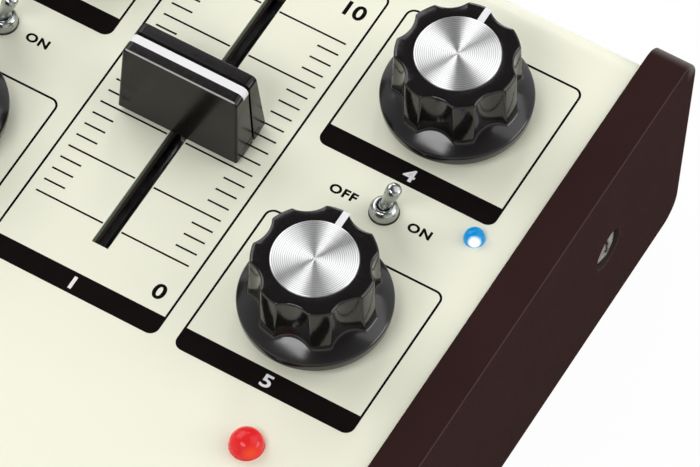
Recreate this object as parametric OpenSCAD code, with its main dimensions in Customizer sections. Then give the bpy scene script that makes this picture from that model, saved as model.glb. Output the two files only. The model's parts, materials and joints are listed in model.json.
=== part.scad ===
// Delay pedal: a folded cream case between two dark end cheeks, with four skirted
// knobs, one slider, two small toggle switches, two foot switches and three lamps.
// X runs to the right, Y to the rear, Z up. The origin is on the floor, under the middle.

/* [Case] */
// Width of the folded case between the end cheeks
case_w = 106; // [96:0.5:120]
// Depth of the case over its front and rear walls
case_d = 131.2; // [128:0.4:142]
// Height of the panel above the underside of the tray
case_h = 36.5; // [34:0.5:44]
// Thickness of the folded sheet and of the tray
sheet_t = 1.5; // [1:0.1:2]
// Outside radius of the bends
bend_r = 3.5; // [2.5:0.1:5]
// Depth of the flanges turned in under the case
flange_d = 12; // [10:0.5:15]
// Height of the tray's side walls
tray_wall_h = 26; // [23:0.5:28]
// Radius of each rubber foot
foot_r = 7; // [5:0.5:9]
// Height of each rubber foot
foot_h = 3; // [2.5:0.5:6]
// Distance of the feet from the side of the case
foot_inset = 11; // [9:0.5:14]
// Gap between the feet and the flanges
foot_gap = 3; // [2:0.5:6]

/* [End cheeks] */
// Thickness of an end cheek
cheek_t = 6.5; // [5:0.5:9]
// How far the cheek stands above the panel
cheek_proud = 0.8; // [0.4:0.1:2]
// How far the cheek's top corners reach past the case walls
cheek_over = 4.4; // [3:0.2:7]
// Radius of the cheek's top corners
cheek_top_r = 3; // [1.5:0.5:5]
// Radius of the cheek's bottom corners
cheek_bottom_r = 4.5; // [3:0.5:9]
// Distance of the cheek screws from the case walls
cheek_screw_inset = 21.8; // [19:0.2:30]
// Diameter of the recess for a cheek screw's head
recess_d = 7; // [6.8:0.1:8]
// Depth of that recess
recess_depth = 2.6; // [2.4:0.1:3]

/* [Panel layout] */
// Distance of the slider's middle behind the middle of the case
slot_y = 22.6; // [20:0.2:24]
// Distance of the knob columns from the sides of the case
column_inset = 20; // [17:0.5:22]
// Distance of the rear knobs behind the slider's middle
rear_knob_dy = 21.3; // [20:0.1:23]
// Distance of the front knobs before the slider's middle
front_knob_dy = 19.6; // [19:0.1:23]
// Distance of the blue lamp from the right side of the case
blue_inset = 6.3; // [6:0.1:7.5]
// Distance of the blue lamp behind the slider's middle
blue_dy = 2.8; // [0:0.05:6]
// Distance of the foot switches and their lamps from the sides of the case
foot_switch_inset = 17; // [15:0.5:20]
// Distance of the red lamps before the slider's middle
red_dy = 44; // [42:0.5:46]
// Distance of the foot switches before the slider's middle
foot_switch_dy = 66; // [64:0.5:68]

/* [Knobs] */
// Radius of the knob's skirt
skirt_r = 11.6; // [10.5:0.1:12]
// Radius of the fluted body at its foot
knob_foot_r = 9.7; // [9:0.1:10]
// Radius of the fluted body at its top
knob_top_r = 9.4; // [8.8:0.1:9.6]
// Height of the knob's top above the panel
knob_h = 14.4; // [13:0.1:17]
// Gap between the knob's skirt and the panel
knob_gap = 2; // [1:0.1:2.5]
// Height of the skirt's rim above the panel
rim_h = 4.1; // [3.6:0.1:4.6]
// Height of the foot of the fluted body above the panel
body_h = 5.2; // [4.9:0.1:6]
// Number of flutes
flutes = 7; // [5:1:9]
// Turn of the flutes from the pointer, in degrees
flute_turn = 10; // [0:1:12]
// Radius of one flute
flute_r = 3.4; // [2.8:0.1:4]
// Depth of one flute
flute_depth = 0.95; // [0.6:0.05:1.2]
// Radius of the spun metal disc
disc_r = 6.5; // [5.5:0.1:7]
// Thickness of the disc
disc_t = 0.8; // [0.5:0.1:1.2]
// Thickness of the knob between the shaft and the disc
knob_roof = 1; // [0.6:0.1:2]
// Width of the pointer line
pointer_w = 1.1; // [0.8:0.1:1.6]

/* [Rotary potentiometers] */
// Radius of the shaft
shaft_r = 3; // [2.5:0.1:3.2]
// Radius of the threaded bush
bush_r = 3.5; // [3.4:0.1:4]
// Height of the bush above the panel
bush_h = 4.4; // [3.6:0.1:4.6]
// Radius of the metal can
can_r = 8.5; // [8:0.1:9]
// Height of the metal can
can_h = 9; // [7:0.1:9.5]
// Distance across the flats of the nut
pot_nut_af = 10; // [9.5:0.1:11]
// Thickness of the nut
pot_nut_t = 2; // [1.5:0.1:2.5]

/* [Slider] */
// Travel of the slider from end to end
travel = 45; // [35:1:46]
// Width of the slot in the panel
slot_w = 2.8; // [2.6:0.1:4]
// Length of the slot beyond the travel
slot_spare = 6.9; // [6.2:0.1:8]
// Thickness of the metal lever, across the slot
lever_t = 1.2; // [1:0.1:1.4]
// Width of the metal lever, along the slot
lever_w = 4.4; // [3.5:0.1:5]
// Width of the track housing
track_w = 9.2; // [9:0.1:11]
// Height of the track housing
track_h = 6.6; // [6.2:0.1:8]
// Length of the cap at its foot, across the slot
cap_len = 20.6; // [16:0.1:22]
// Width of the cap at its foot, along the slot
cap_w = 8.6; // [7.5:0.1:10]
// Width of the cap at its top
cap_top_w = 5.7; // [5:0.1:7]
// Height of the cap's top above the panel
cap_h = 14.6; // [13:0.1:17]
// Gap between the cap and the panel
cap_gap = 0.6; // [0.4:0.1:1]
// How much each end of the cap draws in towards the top
cap_draw = 0.5; // [0:0.1:1]
// Width of the white line on the cap
line_w = 1.4; // [1.2:0.1:2.2]
// How far the white line lies before the middle of the cap
line_shift = 0.35; // [0:0.05:0.6]
// Width of the groove behind the white line, which is as deep
groove_w = 0.35; // [0.3:0.05:0.8]

/* [Toggle switches] */
// Radius of the collar above the panel
collar_r = 2.2; // [2:0.05:3]
// Height of the collar
collar_h = 1.2; // [0.8:0.1:1.4]
// Radius of the lever's stem
stem_r = 0.85; // [0.7:0.05:0.9]
// Radius of the lever's ball tip
tip_r = 1.15; // [1:0.05:1.6]
// Distance from the pivot to the middle of the tip
lever_len = 5.7; // [5:0.1:8]
// Lean of the lever to each side, in degrees
lean = 16; // [10:1:17]

/* [Foot switches] */
// Side of the square switch housing
foot_housing = 17; // [16:0.5:17.5]
// Height of the housing
foot_housing_h = 18; // [14:0.5:19]
// Radius of the threaded bush
foot_bush_r = 6; // [5.6:0.1:6.4]
// Height of the bush above the panel
foot_bush_h = 6; // [5:0.1:8]
// Radius of the plunger's stem
plunger_r = 4; // [3.5:0.1:4.4]
// Radius of the plunger's button
button_r = 5; // [4.8:0.1:6]
// Height of the plunger's button
button_h = 4.8; // [3.5:0.1:6]
// Travel of the plunger
plunger_travel = 2; // [1:0.1:2.5]
// Distance across the flats of the nuts
foot_nut_af = 14; // [13.6:0.1:16]

/* [Lamps] */
// Radius of a red lamp
red_r = 2.5; // [2:0.1:3]
// Radius of the blue lamp
blue_r = 1.5; // [1.3:0.1:1.8]
// How far a red lamp stands above the panel
red_proud = 3.4; // [2.5:0.1:4]
// How far the blue lamp stands above the panel
blue_proud = 2.2; // [1.4:0.1:2.6]

/* [Sockets] */
// Distance of the signal sockets from the sides of the case
socket_inset = 23; // [21:0.5:31]
// Radius of the hole for a signal plug
socket_r = 3.2; // [3.18:0.01:3.3]
// Radius of the socket's threaded nose
nose_r = 4.5; // [4.2:0.1:5]
// How far the nose stands out of the rear wall
nose_len = 3.2; // [2.8:0.1:4]
// Depth of the socket's housing behind the wall
socket_depth = 21; // [18:0.5:24]
// Radius of the power socket's hole
power_r = 3.1; // [2.9:0.1:3.4]

/* [Circuit board] */
// Gap between the board and the panel above it
board_drop = 10; // [9.8:0.1:12]
// Thickness of the board
board_t = 1.6; // [1:0.1:2]
// Gap between the board's edges and the sides of the case
board_gap = 3.5; // [3:0.1:4]
// Gap between the board's rear edge and the rear wall
board_rear_gap = 6; // [4:0.5:9]
// Gap between the board's front edge and the foot switches
board_front_gap = 5; // [3:0.5:8]

/* [Fits] */
// Running clearance of a shaft, stem or plunger in its bore
run_gap = 0.05; // [0.03:0.01:0.1]
// Clearance round what passes through a panel hole
hole_gap = 0.15; // [0.1:0.05:0.3]
// Clearance of a screw or nut thread
thread_gap = 0.05; // [0.02:0.01:0.1]
// Clearance at the end of a shaft, a plunger or a button
end_gap = 0.2; // [0.1:0.05:0.4]
// Clearance of the slider's lever in its track and in the dust strip
lever_gap = 0.4; // [0.3:0.05:0.6]

/* [Hidden] */
$fn = 64;
cream = "#eae9d8";
brown = "#38292a";
black = "#191717";
steel = "#b9babb";
silver = "#d8dadb";
white = "#f2f2ee";
floor_z = foot_h;
case_z = floor_z + sheet_t;
panel_z = floor_z + case_h;
under_z = panel_z - sheet_t;
// Height at which the panel's bends run out into the walls
fold_z = panel_z - bend_r;
side_x = case_w / 2;
wall_y = case_d / 2;
inner_y = wall_y - sheet_t;
board_z = under_z - board_drop;
board_under = board_z - board_t;
// How far a cut runs past the face it opens
cut = 1;

// Screws: thread radius, head radius, head height, distance across the nut's flats, nut height
m3 = [1.5, 2.8, 2, 5.5, 2.4];
m4 = [2, 3.25, 2.3, 7, 3.2];
cross_w = 0.8;
cross_rim = 1;
cross_depth = 1.1;
screw_end = 0.8;

// Places of the four controls, the switches and the lamps
column_x = side_x - column_inset;
foot_switch_x = side_x - foot_switch_inset;
left_rear = [-column_x, slot_y + rear_knob_dy];
left_front = [-column_x, slot_y - front_knob_dy];
right_rear = [column_x, slot_y + rear_knob_dy];
right_front = [column_x, slot_y - front_knob_dy];
controls = [left_rear, left_front, right_rear, right_front];
left_toggle = [-column_x, slot_y];
right_toggle = [column_x, slot_y];
left_foot = [-foot_switch_x, slot_y - foot_switch_dy];
right_foot = [foot_switch_x, slot_y - foot_switch_dy];
left_lamp = [-foot_switch_x, slot_y - red_dy];
right_lamp = [foot_switch_x, slot_y - red_dy];
blue_lamp = [side_x - blue_inset, slot_y + blue_dy];

// Case fastenings, tray and feet
base_screw_inset = 15;
base_screw_x = side_x - base_screw_inset;
base_screw_y = wall_y - (flange_d + bend_r) / 2;
base_screws_at = [for (sx = [-1, 1], sy = [-1, 1]) [sx * base_screw_x, sy * base_screw_y]];
tray_edge_gap = 1;
tray_wall_gap = 1.5;
tray_d = 2 * (wall_y - bend_r - tray_edge_gap);
tray_wall_d = 2 * (wall_y - flange_d - tray_wall_gap);
cheek_screw_y = wall_y - cheek_screw_inset;
cheek_screw_z = floor_z + case_h / 2;
foot_y = wall_y - flange_d - foot_gap - foot_r;
foot_taper = 1;
foot_rim = 2.4;
foot_dish = 0.6;

// Circuit board, its pillars and the parts that stand on it
board_w = case_w - 2 * board_gap;
board_rear = inner_y - board_rear_gap;
board_front = left_foot.y + foot_housing / 2 + board_front_gap;
pillar_flats = 5.5;
stud_r = 2.1;
pillar_inset = [5.5, 4];
pillar_x = board_w / 2 - pillar_inset.x;
lamp_to_pillar = 6;
pillar_rows = [board_front + pillar_inset.y, blue_lamp.y + lamp_to_pillar];
pillars_at = [for (sx = [-1, 1], y = pillar_rows) [sx * pillar_x, y]];
pillar_thread = 8;
board_screw_bite = 5;
chip = [6.4, 19, 3.5];
chip_x = 15;
chip_rows = [-6, 18];
capacitor_r = 3.2;
capacitor_h = 7.5;
capacitor_pitch = 9;
capacitor_x = 12;
capacitor_gap = 1.3;

// Knob, from the panel upwards
washer_t = 0.5;
washer_r = 6;
hub_gap = 0.6;
hub_h = bush_h + hub_gap;
cavity_wall = 1.5;
cavity_r = knob_foot_r - cavity_wall;
disc_proud = 0.2;
disc_edge = 0.15;
seat_h = knob_h + disc_proud - disc_t;
seat_r = disc_r + run_gap;
knob_bore_r = shaft_r + run_gap;
bore_top = seat_h - knob_roof;
shaft_h = bore_top - end_gap;
knob_edge = 0.2;
skirt_edge = 0.3;
flute_at = knob_top_r - flute_depth + flute_r;
flute_lift = 0.3;
flute_foot = body_h + flute_lift;
pointer_t = 0.4;
pointer_end = knob_top_r - knob_edge;

// Rotary potentiometer below the panel
shaft_seat = 3;
shaft_foot = board_z + shaft_seat;
shoulder_w = 2;
terminal_w = 12;
terminal_d = 5;
terminals_y = left_front.y - can_r - terminal_d / 2;

// Slider
slot_len = travel + slot_spare;
carriage_w = 6.2;
carriage_l = 8;
carriage_h = 3.3;
track_wall = 1.2;
stop_gap = 1;
track_end = 3.5;
track_hollow = travel + carriage_l + 2 * stop_gap;
track_len = track_hollow + 2 * track_end;
track_slot = travel + lever_w + stop_gap;
strip_w = 12;
strip_t = 0.6;
strip_over = 3;
cap_roof = 3.2;
lever_top = cap_h - cap_roof;
cap_wall = 1.5;
cap_hollow_h = 2.6;
notch_wall = 2;
notch_h = 1.4;
line_t = 0.6;
groove_y = (line_w + groove_w) / 2 - line_shift;

// Toggle switch, from the panel upwards
neck_r = 1.65;
neck_h = 0.9;
pivot_drop = 0.5;
pivot_h = collar_h + neck_h - pivot_drop;
pivot_r = 1.05;
toggle_bore_r = 1.3;
tail_r = 0.58;
tail_len = 1.6;
tail_gap = 0.6;
toggle_w = 8;
toggle_d = 6.6;

// Foot switch, from the panel upwards
lock_nut_t = 2;
foot_washer_t = 1;
foot_washer_r = 9;
foot_nut_t = 2.5;
housing_top = -sheet_t - lock_nut_t;
housing_foot = housing_top - foot_housing_h;
stem_bite = 4.5;
stem_foot = housing_top - stem_bite;
button_z = foot_bush_h + plunger_travel + end_gap;
button_top = button_z + button_h;
button_edge = 1.2;
lug = [2, 0.8, 4];
lug_pitch = 5;

// Lamps: length and flange of each, and the spacers under them
red_len = 8.6;
blue_len = 5.3;
lamp_flange = 0.4;
lamp_flange_h = 1;
spacer_wall = 1.1;

// Sockets
socket_x = side_x - socket_inset;
socket_w = 16;
socket_h = 12.8;
socket_z = board_under - socket_h / 2;
socket_back = 1;
socket_nut_af = 12;
socket_nut_t = 2;
power_w = 9;
power_h = 11;
power_depth = 13;
power_z = board_under - power_h / 2;
power_bore = 9.5;
pin_r = 1;
pin_recess = 1;

// A flat outline in (y, z), drawn out along X about the middle
module along_x(length) rotate([90, 0, 90]) linear_extrude(length, center = true) children();

// A round bar along X, from one end to the other
module bar_x(r, x0, x1) translate([x0, 0, 0]) rotate([0, 90, 0]) cylinder(r = r, h = x1 - x0);

// A round bar along Y, from one end to the other
module bar_y(r, y0, y1) translate([0, y1, 0]) rotate([90, 0, 0]) cylinder(r = r, h = y1 - y0);

// A box centred in X and Y, from one height to the other
module block(w, d, z0, z1) translate([-w / 2, -d / 2, z0]) cube([w, d, z1 - z0]);

// A round hole along Z at a place, from one height to the other
module hole(at, r, z0, z1) translate([at.x, at.y, z0 - cut]) cylinder(r = r, h = z1 - z0 + 2 * cut);

// A flat ring on the XY plane
module ring(outer, inner, h) difference() {
    cylinder(r = outer, h = h);
    hole([0, 0], inner, 0, h);
}

// A hexagon nut on the XY plane, from its distance across the flats
module hex_nut(flats, bore, h) difference() {
    cylinder(r = flats / sqrt(3), h = h, $fn = 6);
    hole([0, 0], bore, 0, h);
}

// A cross-head screw that points down: head above z = 0, thread below it
module screw(size, length) difference() {
    union() {
        cylinder(r = size[1], h = size[2]);
        translate([0, 0, -length]) cylinder(r = size[0], h = length);
    }
    for (turn = [0, 90]) rotate(turn)
        block(2 * (size[1] - cross_rim), cross_w, size[2] - cross_depth, size[2] + cut);
}

// A rectangle with round corners, centred
module round_rect(w, h, r) {
    square([w - 2 * r, h], center = true);
    square([w, h - 2 * r], center = true);
    for (sx = [-1, 1], sy = [-1, 1]) translate([sx * (w / 2 - r), sy * (h / 2 - r)]) circle(r = r);
}

// A convex outline with round corners: a polygon between the tangent points and a circle at each corner
function unit(v) = v / norm(v);
module round_outline(points, radii) {
    n = len(points);
    corners = [for (i = [0:n - 1]) let (
        back = unit(points[(i + n - 1) % n] - points[i]),
        ahead = unit(points[(i + 1) % n] - points[i]),
        half = acos(back * ahead) / 2,
        reach = radii[i] / tan(half),
        middle = points[i] + unit(back + ahead) * radii[i] / sin(half)
    ) [points[i] + back * reach, points[i] + ahead * reach, middle]];
    polygon([for (c = corners) each [c[0], c[1]]]);
    for (i = [0:n - 1]) translate(corners[i][2]) circle(r = radii[i]);
}

// The folded section of the case: panel, two walls and two flanges
module case_section() {
    h = panel_z - case_z;
    translate([0, (panel_z + case_z) / 2]) difference() {
        round_rect(case_d, h, bend_r);
        round_rect(case_d - 2 * sheet_t, h - 2 * sheet_t, bend_r - sheet_t);
        translate([0, -h / 2]) square([case_d - 2 * flange_d, 4 * sheet_t], center = true);
    }
}

// Everything that is cut through the panel
module panel_holes() {
    translate([0, slot_y, 0]) block(slot_w, slot_len, under_z - cut, panel_z + cut);
    for (at = controls) hole(at, bush_r + hole_gap, under_z, panel_z);
    for (at = [left_toggle, right_toggle]) hole(at, collar_r + hole_gap, under_z, panel_z);
    for (at = [left_foot, right_foot]) hole(at, foot_bush_r + hole_gap, under_z, panel_z);
    for (at = [left_lamp, right_lamp]) hole(at, red_r + hole_gap, under_z, panel_z);
    hole(blue_lamp, blue_r + hole_gap, under_z, panel_z);
}

// Everything that is cut through the rear wall
module rear_holes() {
    for (sx = [-1, 1]) translate([sx * socket_x, 0, socket_z])
        bar_y(nose_r + hole_gap, inner_y - cut, wall_y + cut);
    half_h = power_h / 2 + hole_gap;
    translate([0, wall_y, power_z]) block(power_w + 2 * hole_gap, 4 * sheet_t, -half_h, half_h);
}

// Everything that is cut through the flanges
module flange_holes() for (at = base_screws_at) hole(at, m3[0] + hole_gap, case_z, case_z + sheet_t);

// The share of the folded case that lies between two heights
module case_share(z0, z1) along_x(case_w) intersection() {
    case_section();
    translate([-wall_y, z0]) square([case_d, z1 - z0]);
}

// The panel with both of its bends
module top_panel() color(cream) difference() {
    case_share(fold_z, panel_z);
    panel_holes();
}

// The front and rear wall, each with its flange
module case_walls() color(cream) difference() {
    case_share(case_z, fold_z);
    rear_holes();
    flange_holes();
}

module base_tray() color(steel) difference() {
    union() {
        block(case_w, tray_d, floor_z, case_z);
        for (sx = [-1, 1]) translate([sx * (side_x - sheet_t / 2), 0, 0])
            block(sheet_t, tray_wall_d, floor_z, floor_z + tray_wall_h);
    }
    for (at = base_screws_at) hole(at, m3[0] + hole_gap, floor_z, case_z);
    for (at = pillars_at) hole(at, stud_r + thread_gap, floor_z, case_z);
    for (sy = [-1, 1]) translate([0, sy * cheek_screw_y, cheek_screw_z])
        bar_x(m4[0] + hole_gap, -side_x - cut, side_x + cut);
}

// One end cheek, on the side that sx gives
module cheek(sx) color(brown) difference() {
    top = panel_z + cheek_proud;
    reach = wall_y + cheek_over;
    translate([sx * (side_x + cheek_t / 2), 0, 0]) along_x(cheek_t) round_outline(
        [[-wall_y, floor_z], [wall_y, floor_z], [reach, top], [-reach, top]],
        [cheek_bottom_r, cheek_bottom_r, cheek_top_r, cheek_top_r]);
    for (sy = [-1, 1]) translate([sx * (side_x + cheek_t), sy * cheek_screw_y, cheek_screw_z]) {
        bar_x(m4[0] + hole_gap, -cheek_t - cut, cheek_t + cut);
        bar_x(recess_d / 2, -recess_depth, recess_depth);
    }
}

module cheek_screws() color(silver) for (sx = [-1, 1], sy = [-1, 1])
    translate([sx * (side_x + cheek_t - recess_depth), sy * cheek_screw_y, cheek_screw_z])
        rotate([0, sx * 90, 0]) screw(m4, cheek_t - recess_depth + sheet_t + m4[4] + screw_end);

module cheek_nuts() color(steel) for (sx = [-1, 1], sy = [-1, 1])
    translate([sx * (side_x - sheet_t), sy * cheek_screw_y, cheek_screw_z])
        rotate([0, -sx * 90, 0]) hex_nut(m4[3], m4[0] + thread_gap, m4[4]);

module base_screws() color(steel) for (at = base_screws_at)
    translate([at.x, at.y, floor_z]) rotate([180, 0, 0]) screw(m3, 2 * sheet_t + m3[4] + screw_end);

module base_nuts() color(steel) for (at = base_screws_at)
    translate([at.x, at.y, case_z + sheet_t]) hex_nut(m3[3], m3[0] + thread_gap, m3[4]);

module rubber_feet() color("#232323") for (sx = [-1, 1], sy = [-1, 1])
    translate([sx * (side_x - foot_inset), sy * foot_y, 0]) rotate_extrude() polygon([
        [0, foot_dish], [foot_r - foot_rim - foot_dish, foot_dish], [foot_r - foot_rim, 0],
        [foot_r - foot_taper, 0], [foot_r, foot_h], [0, foot_h]]);

module main_board() color("#27543a") difference() {
    translate([0, (board_front + board_rear) / 2, 0])
        block(board_w, board_rear - board_front, board_under, board_z);
    for (at = pillars_at) hole(at, m3[0] + hole_gap, board_under, board_z);
}

module board_pillars() color("#c9a94f") for (at = pillars_at) translate([at.x, at.y, 0]) difference() {
    union() {
        translate([0, 0, case_z]) cylinder(r = pillar_flats / sqrt(3), h = board_under - case_z, $fn = 6);
        translate([0, 0, floor_z]) cylinder(r = stud_r, h = sheet_t);
    }
    translate([0, 0, board_under - pillar_thread]) cylinder(r = m3[0] + thread_gap, h = pillar_thread + cut);
}

module board_screws() color(steel) for (at = pillars_at)
    translate([at.x, at.y, board_z]) screw(m3, board_t + board_screw_bite);

module slider_track() color(steel) translate([0, slot_y, board_z]) difference() {
    block(track_w, track_len, 0, track_h);
    block(track_w - 2 * track_wall, track_hollow, track_wall, track_h - track_wall);
    block(lever_t + 2 * lever_gap, track_slot, track_h / 2, track_h + cut);
}

module dust_strip() color("#0f0f10") translate([0, slot_y, under_z - strip_t]) difference() {
    block(strip_w, slot_len + 2 * strip_over, 0, strip_t);
    block(lever_t + 2 * lever_gap, track_slot, -cut, strip_t + cut);
}

module slider_lever() color(silver) translate([0, slot_y, 0]) {
    middle = board_z + track_h / 2;
    block(carriage_w, carriage_l, middle - carriage_h / 2, middle + carriage_h / 2);
    block(lever_t, lever_w, middle, panel_z + lever_top);
}

module slider_cap() color(black) translate([0, slot_y, panel_z]) difference() {
    intersection() {
        along_x(cap_len) polygon([
            [-cap_w / 2, cap_gap], [cap_w / 2, cap_gap], [cap_top_w / 2, cap_h], [-cap_top_w / 2, cap_h]]);
        top_half = cap_len / 2 - cap_draw;
        rotate([90, 0, 0]) linear_extrude(cap_w, center = true) polygon([
            [-cap_len / 2, cap_gap], [cap_len / 2, cap_gap], [top_half, cap_h], [-top_half, cap_h]]);
    }
    block(cap_len - 2 * cap_wall, cap_w - 2 * cap_wall, 0, cap_gap + cap_hollow_h);
    block(cap_len + cut, cap_w - 2 * notch_wall, 0, cap_gap + notch_h);
    block(lever_t + 2 * run_gap, lever_w + 2 * run_gap, 0, lever_top + end_gap);
    translate([0, -line_shift, 0]) block(cap_len + cut, line_w, cap_h - line_t, cap_h + cut);
    translate([0, groove_y, 0]) {
        block(cap_len + cut, groove_w, cap_h - groove_w, cap_h + cut);
        for (sx = [-1, 1]) translate([sx * cap_len / 2, 0, 0])
            block(2 * (cap_draw + groove_w), groove_w, 0, cap_h + cut);
    }
}

module slider_line() color(white) translate([0, slot_y - line_shift, panel_z])
    block(cap_len - 2 * cap_draw, line_w, cap_h - line_t, cap_h);

module pot(at) color(silver) translate([at.x, at.y, 0]) difference() {
    union() {
        translate([0, 0, board_z]) cylinder(r = can_r, h = can_h);
        translate([0, 0, board_z]) cylinder(r = bush_r + shoulder_w, h = board_drop);
        translate([0, 0, board_z]) cylinder(r = bush_r, h = panel_z + bush_h - board_z);
        translate([0, -can_r, 0]) block(terminal_w, terminal_d, board_z, board_z + can_h / 2);
    }
    translate([0, 0, shaft_foot - end_gap]) cylinder(r = shaft_r + run_gap, h = panel_z);
}

module pot_washers() color(silver) for (at = controls)
    translate([at.x, at.y, panel_z]) ring(washer_r, bush_r + thread_gap, washer_t);

module pot_nuts() color(silver) for (at = controls)
    translate([at.x, at.y, panel_z + washer_t]) hex_nut(pot_nut_af, bush_r + thread_gap, pot_nut_t);

module shaft(at) color(silver)
    translate([at.x, at.y, shaft_foot]) cylinder(r = shaft_r, h = panel_z + shaft_h - shaft_foot);

module knob(at) color(black) translate([at.x, at.y, panel_z]) difference() {
    rotate_extrude() polygon([
        [0, bore_top], [knob_bore_r, bore_top], [knob_bore_r, hub_h], [cavity_r, hub_h], [cavity_r, knob_gap],
        [skirt_r - knob_edge, knob_gap], [skirt_r, rim_h - skirt_edge], [skirt_r - skirt_edge, rim_h],
        [knob_foot_r, body_h], [knob_top_r, knob_h - knob_edge], [knob_top_r - knob_edge, knob_h],
        [seat_r, knob_h], [seat_r, seat_h], [0, seat_h]]);
    for (k = [1:flutes]) rotate(90 + flute_turn + (k - 0.5) * 360 / flutes)
        translate([flute_at, 0, flute_foot]) cylinder(r = flute_r, h = knob_h);
    translate([0, (disc_r + skirt_r) / 2, 0])
        block(pointer_w, skirt_r - disc_r, knob_h - pointer_t, knob_h + cut);
}

module disc(at) color(silver) translate([at.x, at.y, panel_z + seat_h]) rotate_extrude() polygon([
    [0, 0], [disc_r, 0], [disc_r, disc_t - disc_edge], [disc_r - disc_edge, disc_t], [0, disc_t]]);

module pointer(at) color(white) translate([at.x, at.y + (seat_r + pointer_end) / 2, panel_z])
    block(pointer_w, pointer_end - seat_r, knob_h - pointer_t, knob_h);

module toggle_switch(at) color(silver) translate([at.x, at.y, panel_z]) difference() {
    union() {
        block(toggle_w, toggle_d, -sheet_t - board_drop, -sheet_t);
        translate([0, 0, -sheet_t - board_drop]) cylinder(r = collar_r, h = board_drop + sheet_t + collar_h);
        cylinder(r = neck_r, h = collar_h + neck_h);
    }
    translate([0, 0, pivot_h - tail_len - tail_gap]) cylinder(r = toggle_bore_r, h = lever_len);
}

module toggle_lever(at) color(silver) translate([at.x, at.y, panel_z + pivot_h]) rotate([0, lean, 0]) {
    sphere(r = pivot_r);
    translate([0, 0, -tail_len]) cylinder(r = tail_r, h = tail_len);
    cylinder(r = stem_r, h = lever_len);
    translate([0, 0, lever_len]) sphere(r = tip_r);
}

module foot_switch(at) color("#2c2f33") translate([at.x, at.y, panel_z]) difference() {
    union() {
        block(foot_housing, foot_housing, housing_foot, housing_top);
        translate([0, 0, stem_foot]) cylinder(r = foot_bush_r, h = foot_bush_h - stem_foot);
        for (lx = [-1:1], ly = [-1:1]) translate([lx * lug_pitch, ly * lug_pitch, 0])
            block(lug.x, lug.y, housing_foot - lug.z, housing_foot + lug.z);
    }
    translate([0, 0, stem_foot - plunger_travel - end_gap]) cylinder(r = plunger_r + run_gap, h = panel_z);
}

module plunger(at) color(silver) translate([at.x, at.y, panel_z]) rotate_extrude() polygon([
    [0, stem_foot], [plunger_r, stem_foot], [plunger_r, button_z], [button_r, button_z],
    each [for (a = [0:30:90]) [button_r, button_top] + button_edge * [cos(a) - 1, sin(a) - 1]],
    [0, button_top]]);

module foot_switch_washers() color(silver) for (at = [left_foot, right_foot])
    translate([at.x, at.y, panel_z]) ring(foot_washer_r, foot_bush_r + thread_gap, foot_washer_t);

module foot_switch_nuts() color(silver) for (at = [left_foot, right_foot]) translate([at.x, at.y, 0]) {
    translate([0, 0, panel_z + foot_washer_t]) hex_nut(foot_nut_af, foot_bush_r + thread_gap, foot_nut_t);
    translate([0, 0, under_z - lock_nut_t]) hex_nut(foot_nut_af, foot_bush_r + thread_gap, lock_nut_t);
}

// A domed lamp of radius r, with its flange below
module lamp(at, r, length, proud) translate([at.x, at.y, panel_z + proud - length]) {
    cylinder(r = r + lamp_flange, h = lamp_flange_h);
    cylinder(r = r, h = length - r);
    translate([0, 0, length - r]) sphere(r = r);
}

module red_lamp(at) color("#d8302c") lamp(at, red_r, red_len, red_proud);

module blue_lamp_lens() color("#2f8fe0") lamp(blue_lamp, blue_r, blue_len, blue_proud);

// The tube that holds a lamp of radius r above the board
module lamp_spacer(at, r, length, proud) translate([at.x, at.y, board_z])
    ring(r + lamp_flange, r + lamp_flange - spacer_wall, panel_z + proud - length - board_z);

module lamp_spacers() color("#e6e4da") {
    for (at = [left_lamp, right_lamp]) lamp_spacer(at, red_r, red_len, red_proud);
    lamp_spacer(blue_lamp, blue_r, blue_len, blue_proud);
}

// A signal socket on the side that sx gives: housing, threaded nose and the hole for the plug
module socket(sx) color("#26282b") translate([sx * socket_x, 0, socket_z]) difference() {
    rear = inner_y - socket_depth;
    union() {
        translate([-socket_w / 2, rear, -socket_h / 2]) cube([socket_w, socket_depth, socket_h]);
        bar_y(nose_r, rear, wall_y + nose_len);
    }
    bar_y(socket_r, rear + socket_back, wall_y + nose_len + cut);
}

module socket_nuts() color(silver) for (sx = [-1, 1]) translate([sx * socket_x, wall_y, socket_z])
    rotate([-90, 0, 0]) hex_nut(socket_nut_af, nose_r + thread_gap, socket_nut_t);

module power_socket() color(black) translate([0, wall_y, power_z]) {
    length = sheet_t + power_depth;
    difference() {
        translate([-power_w / 2, -length, -power_h / 2]) cube([power_w, length, power_h]);
        bar_y(power_r, -power_bore, cut);
    }
    bar_y(pin_r, -power_bore - pin_recess, -pin_recess);
}

module chips() color("#1c1d20") for (sx = [-1, 1], y = chip_rows)
    translate([sx * chip_x, slot_y + y, 0]) block(chip.x, chip.y, board_z, board_z + chip.z);

module capacitors() color("#2a3350") for (sx = [-1, 1], column = [0, 1], row = [0, 1]) {
    x = capacitor_x + column * capacitor_pitch;
    y = terminals_y - capacitor_gap - capacitor_r - row * capacitor_pitch;
    translate([sx * x, y, board_z]) cylinder(r = capacitor_r, h = capacitor_h);
}

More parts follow.
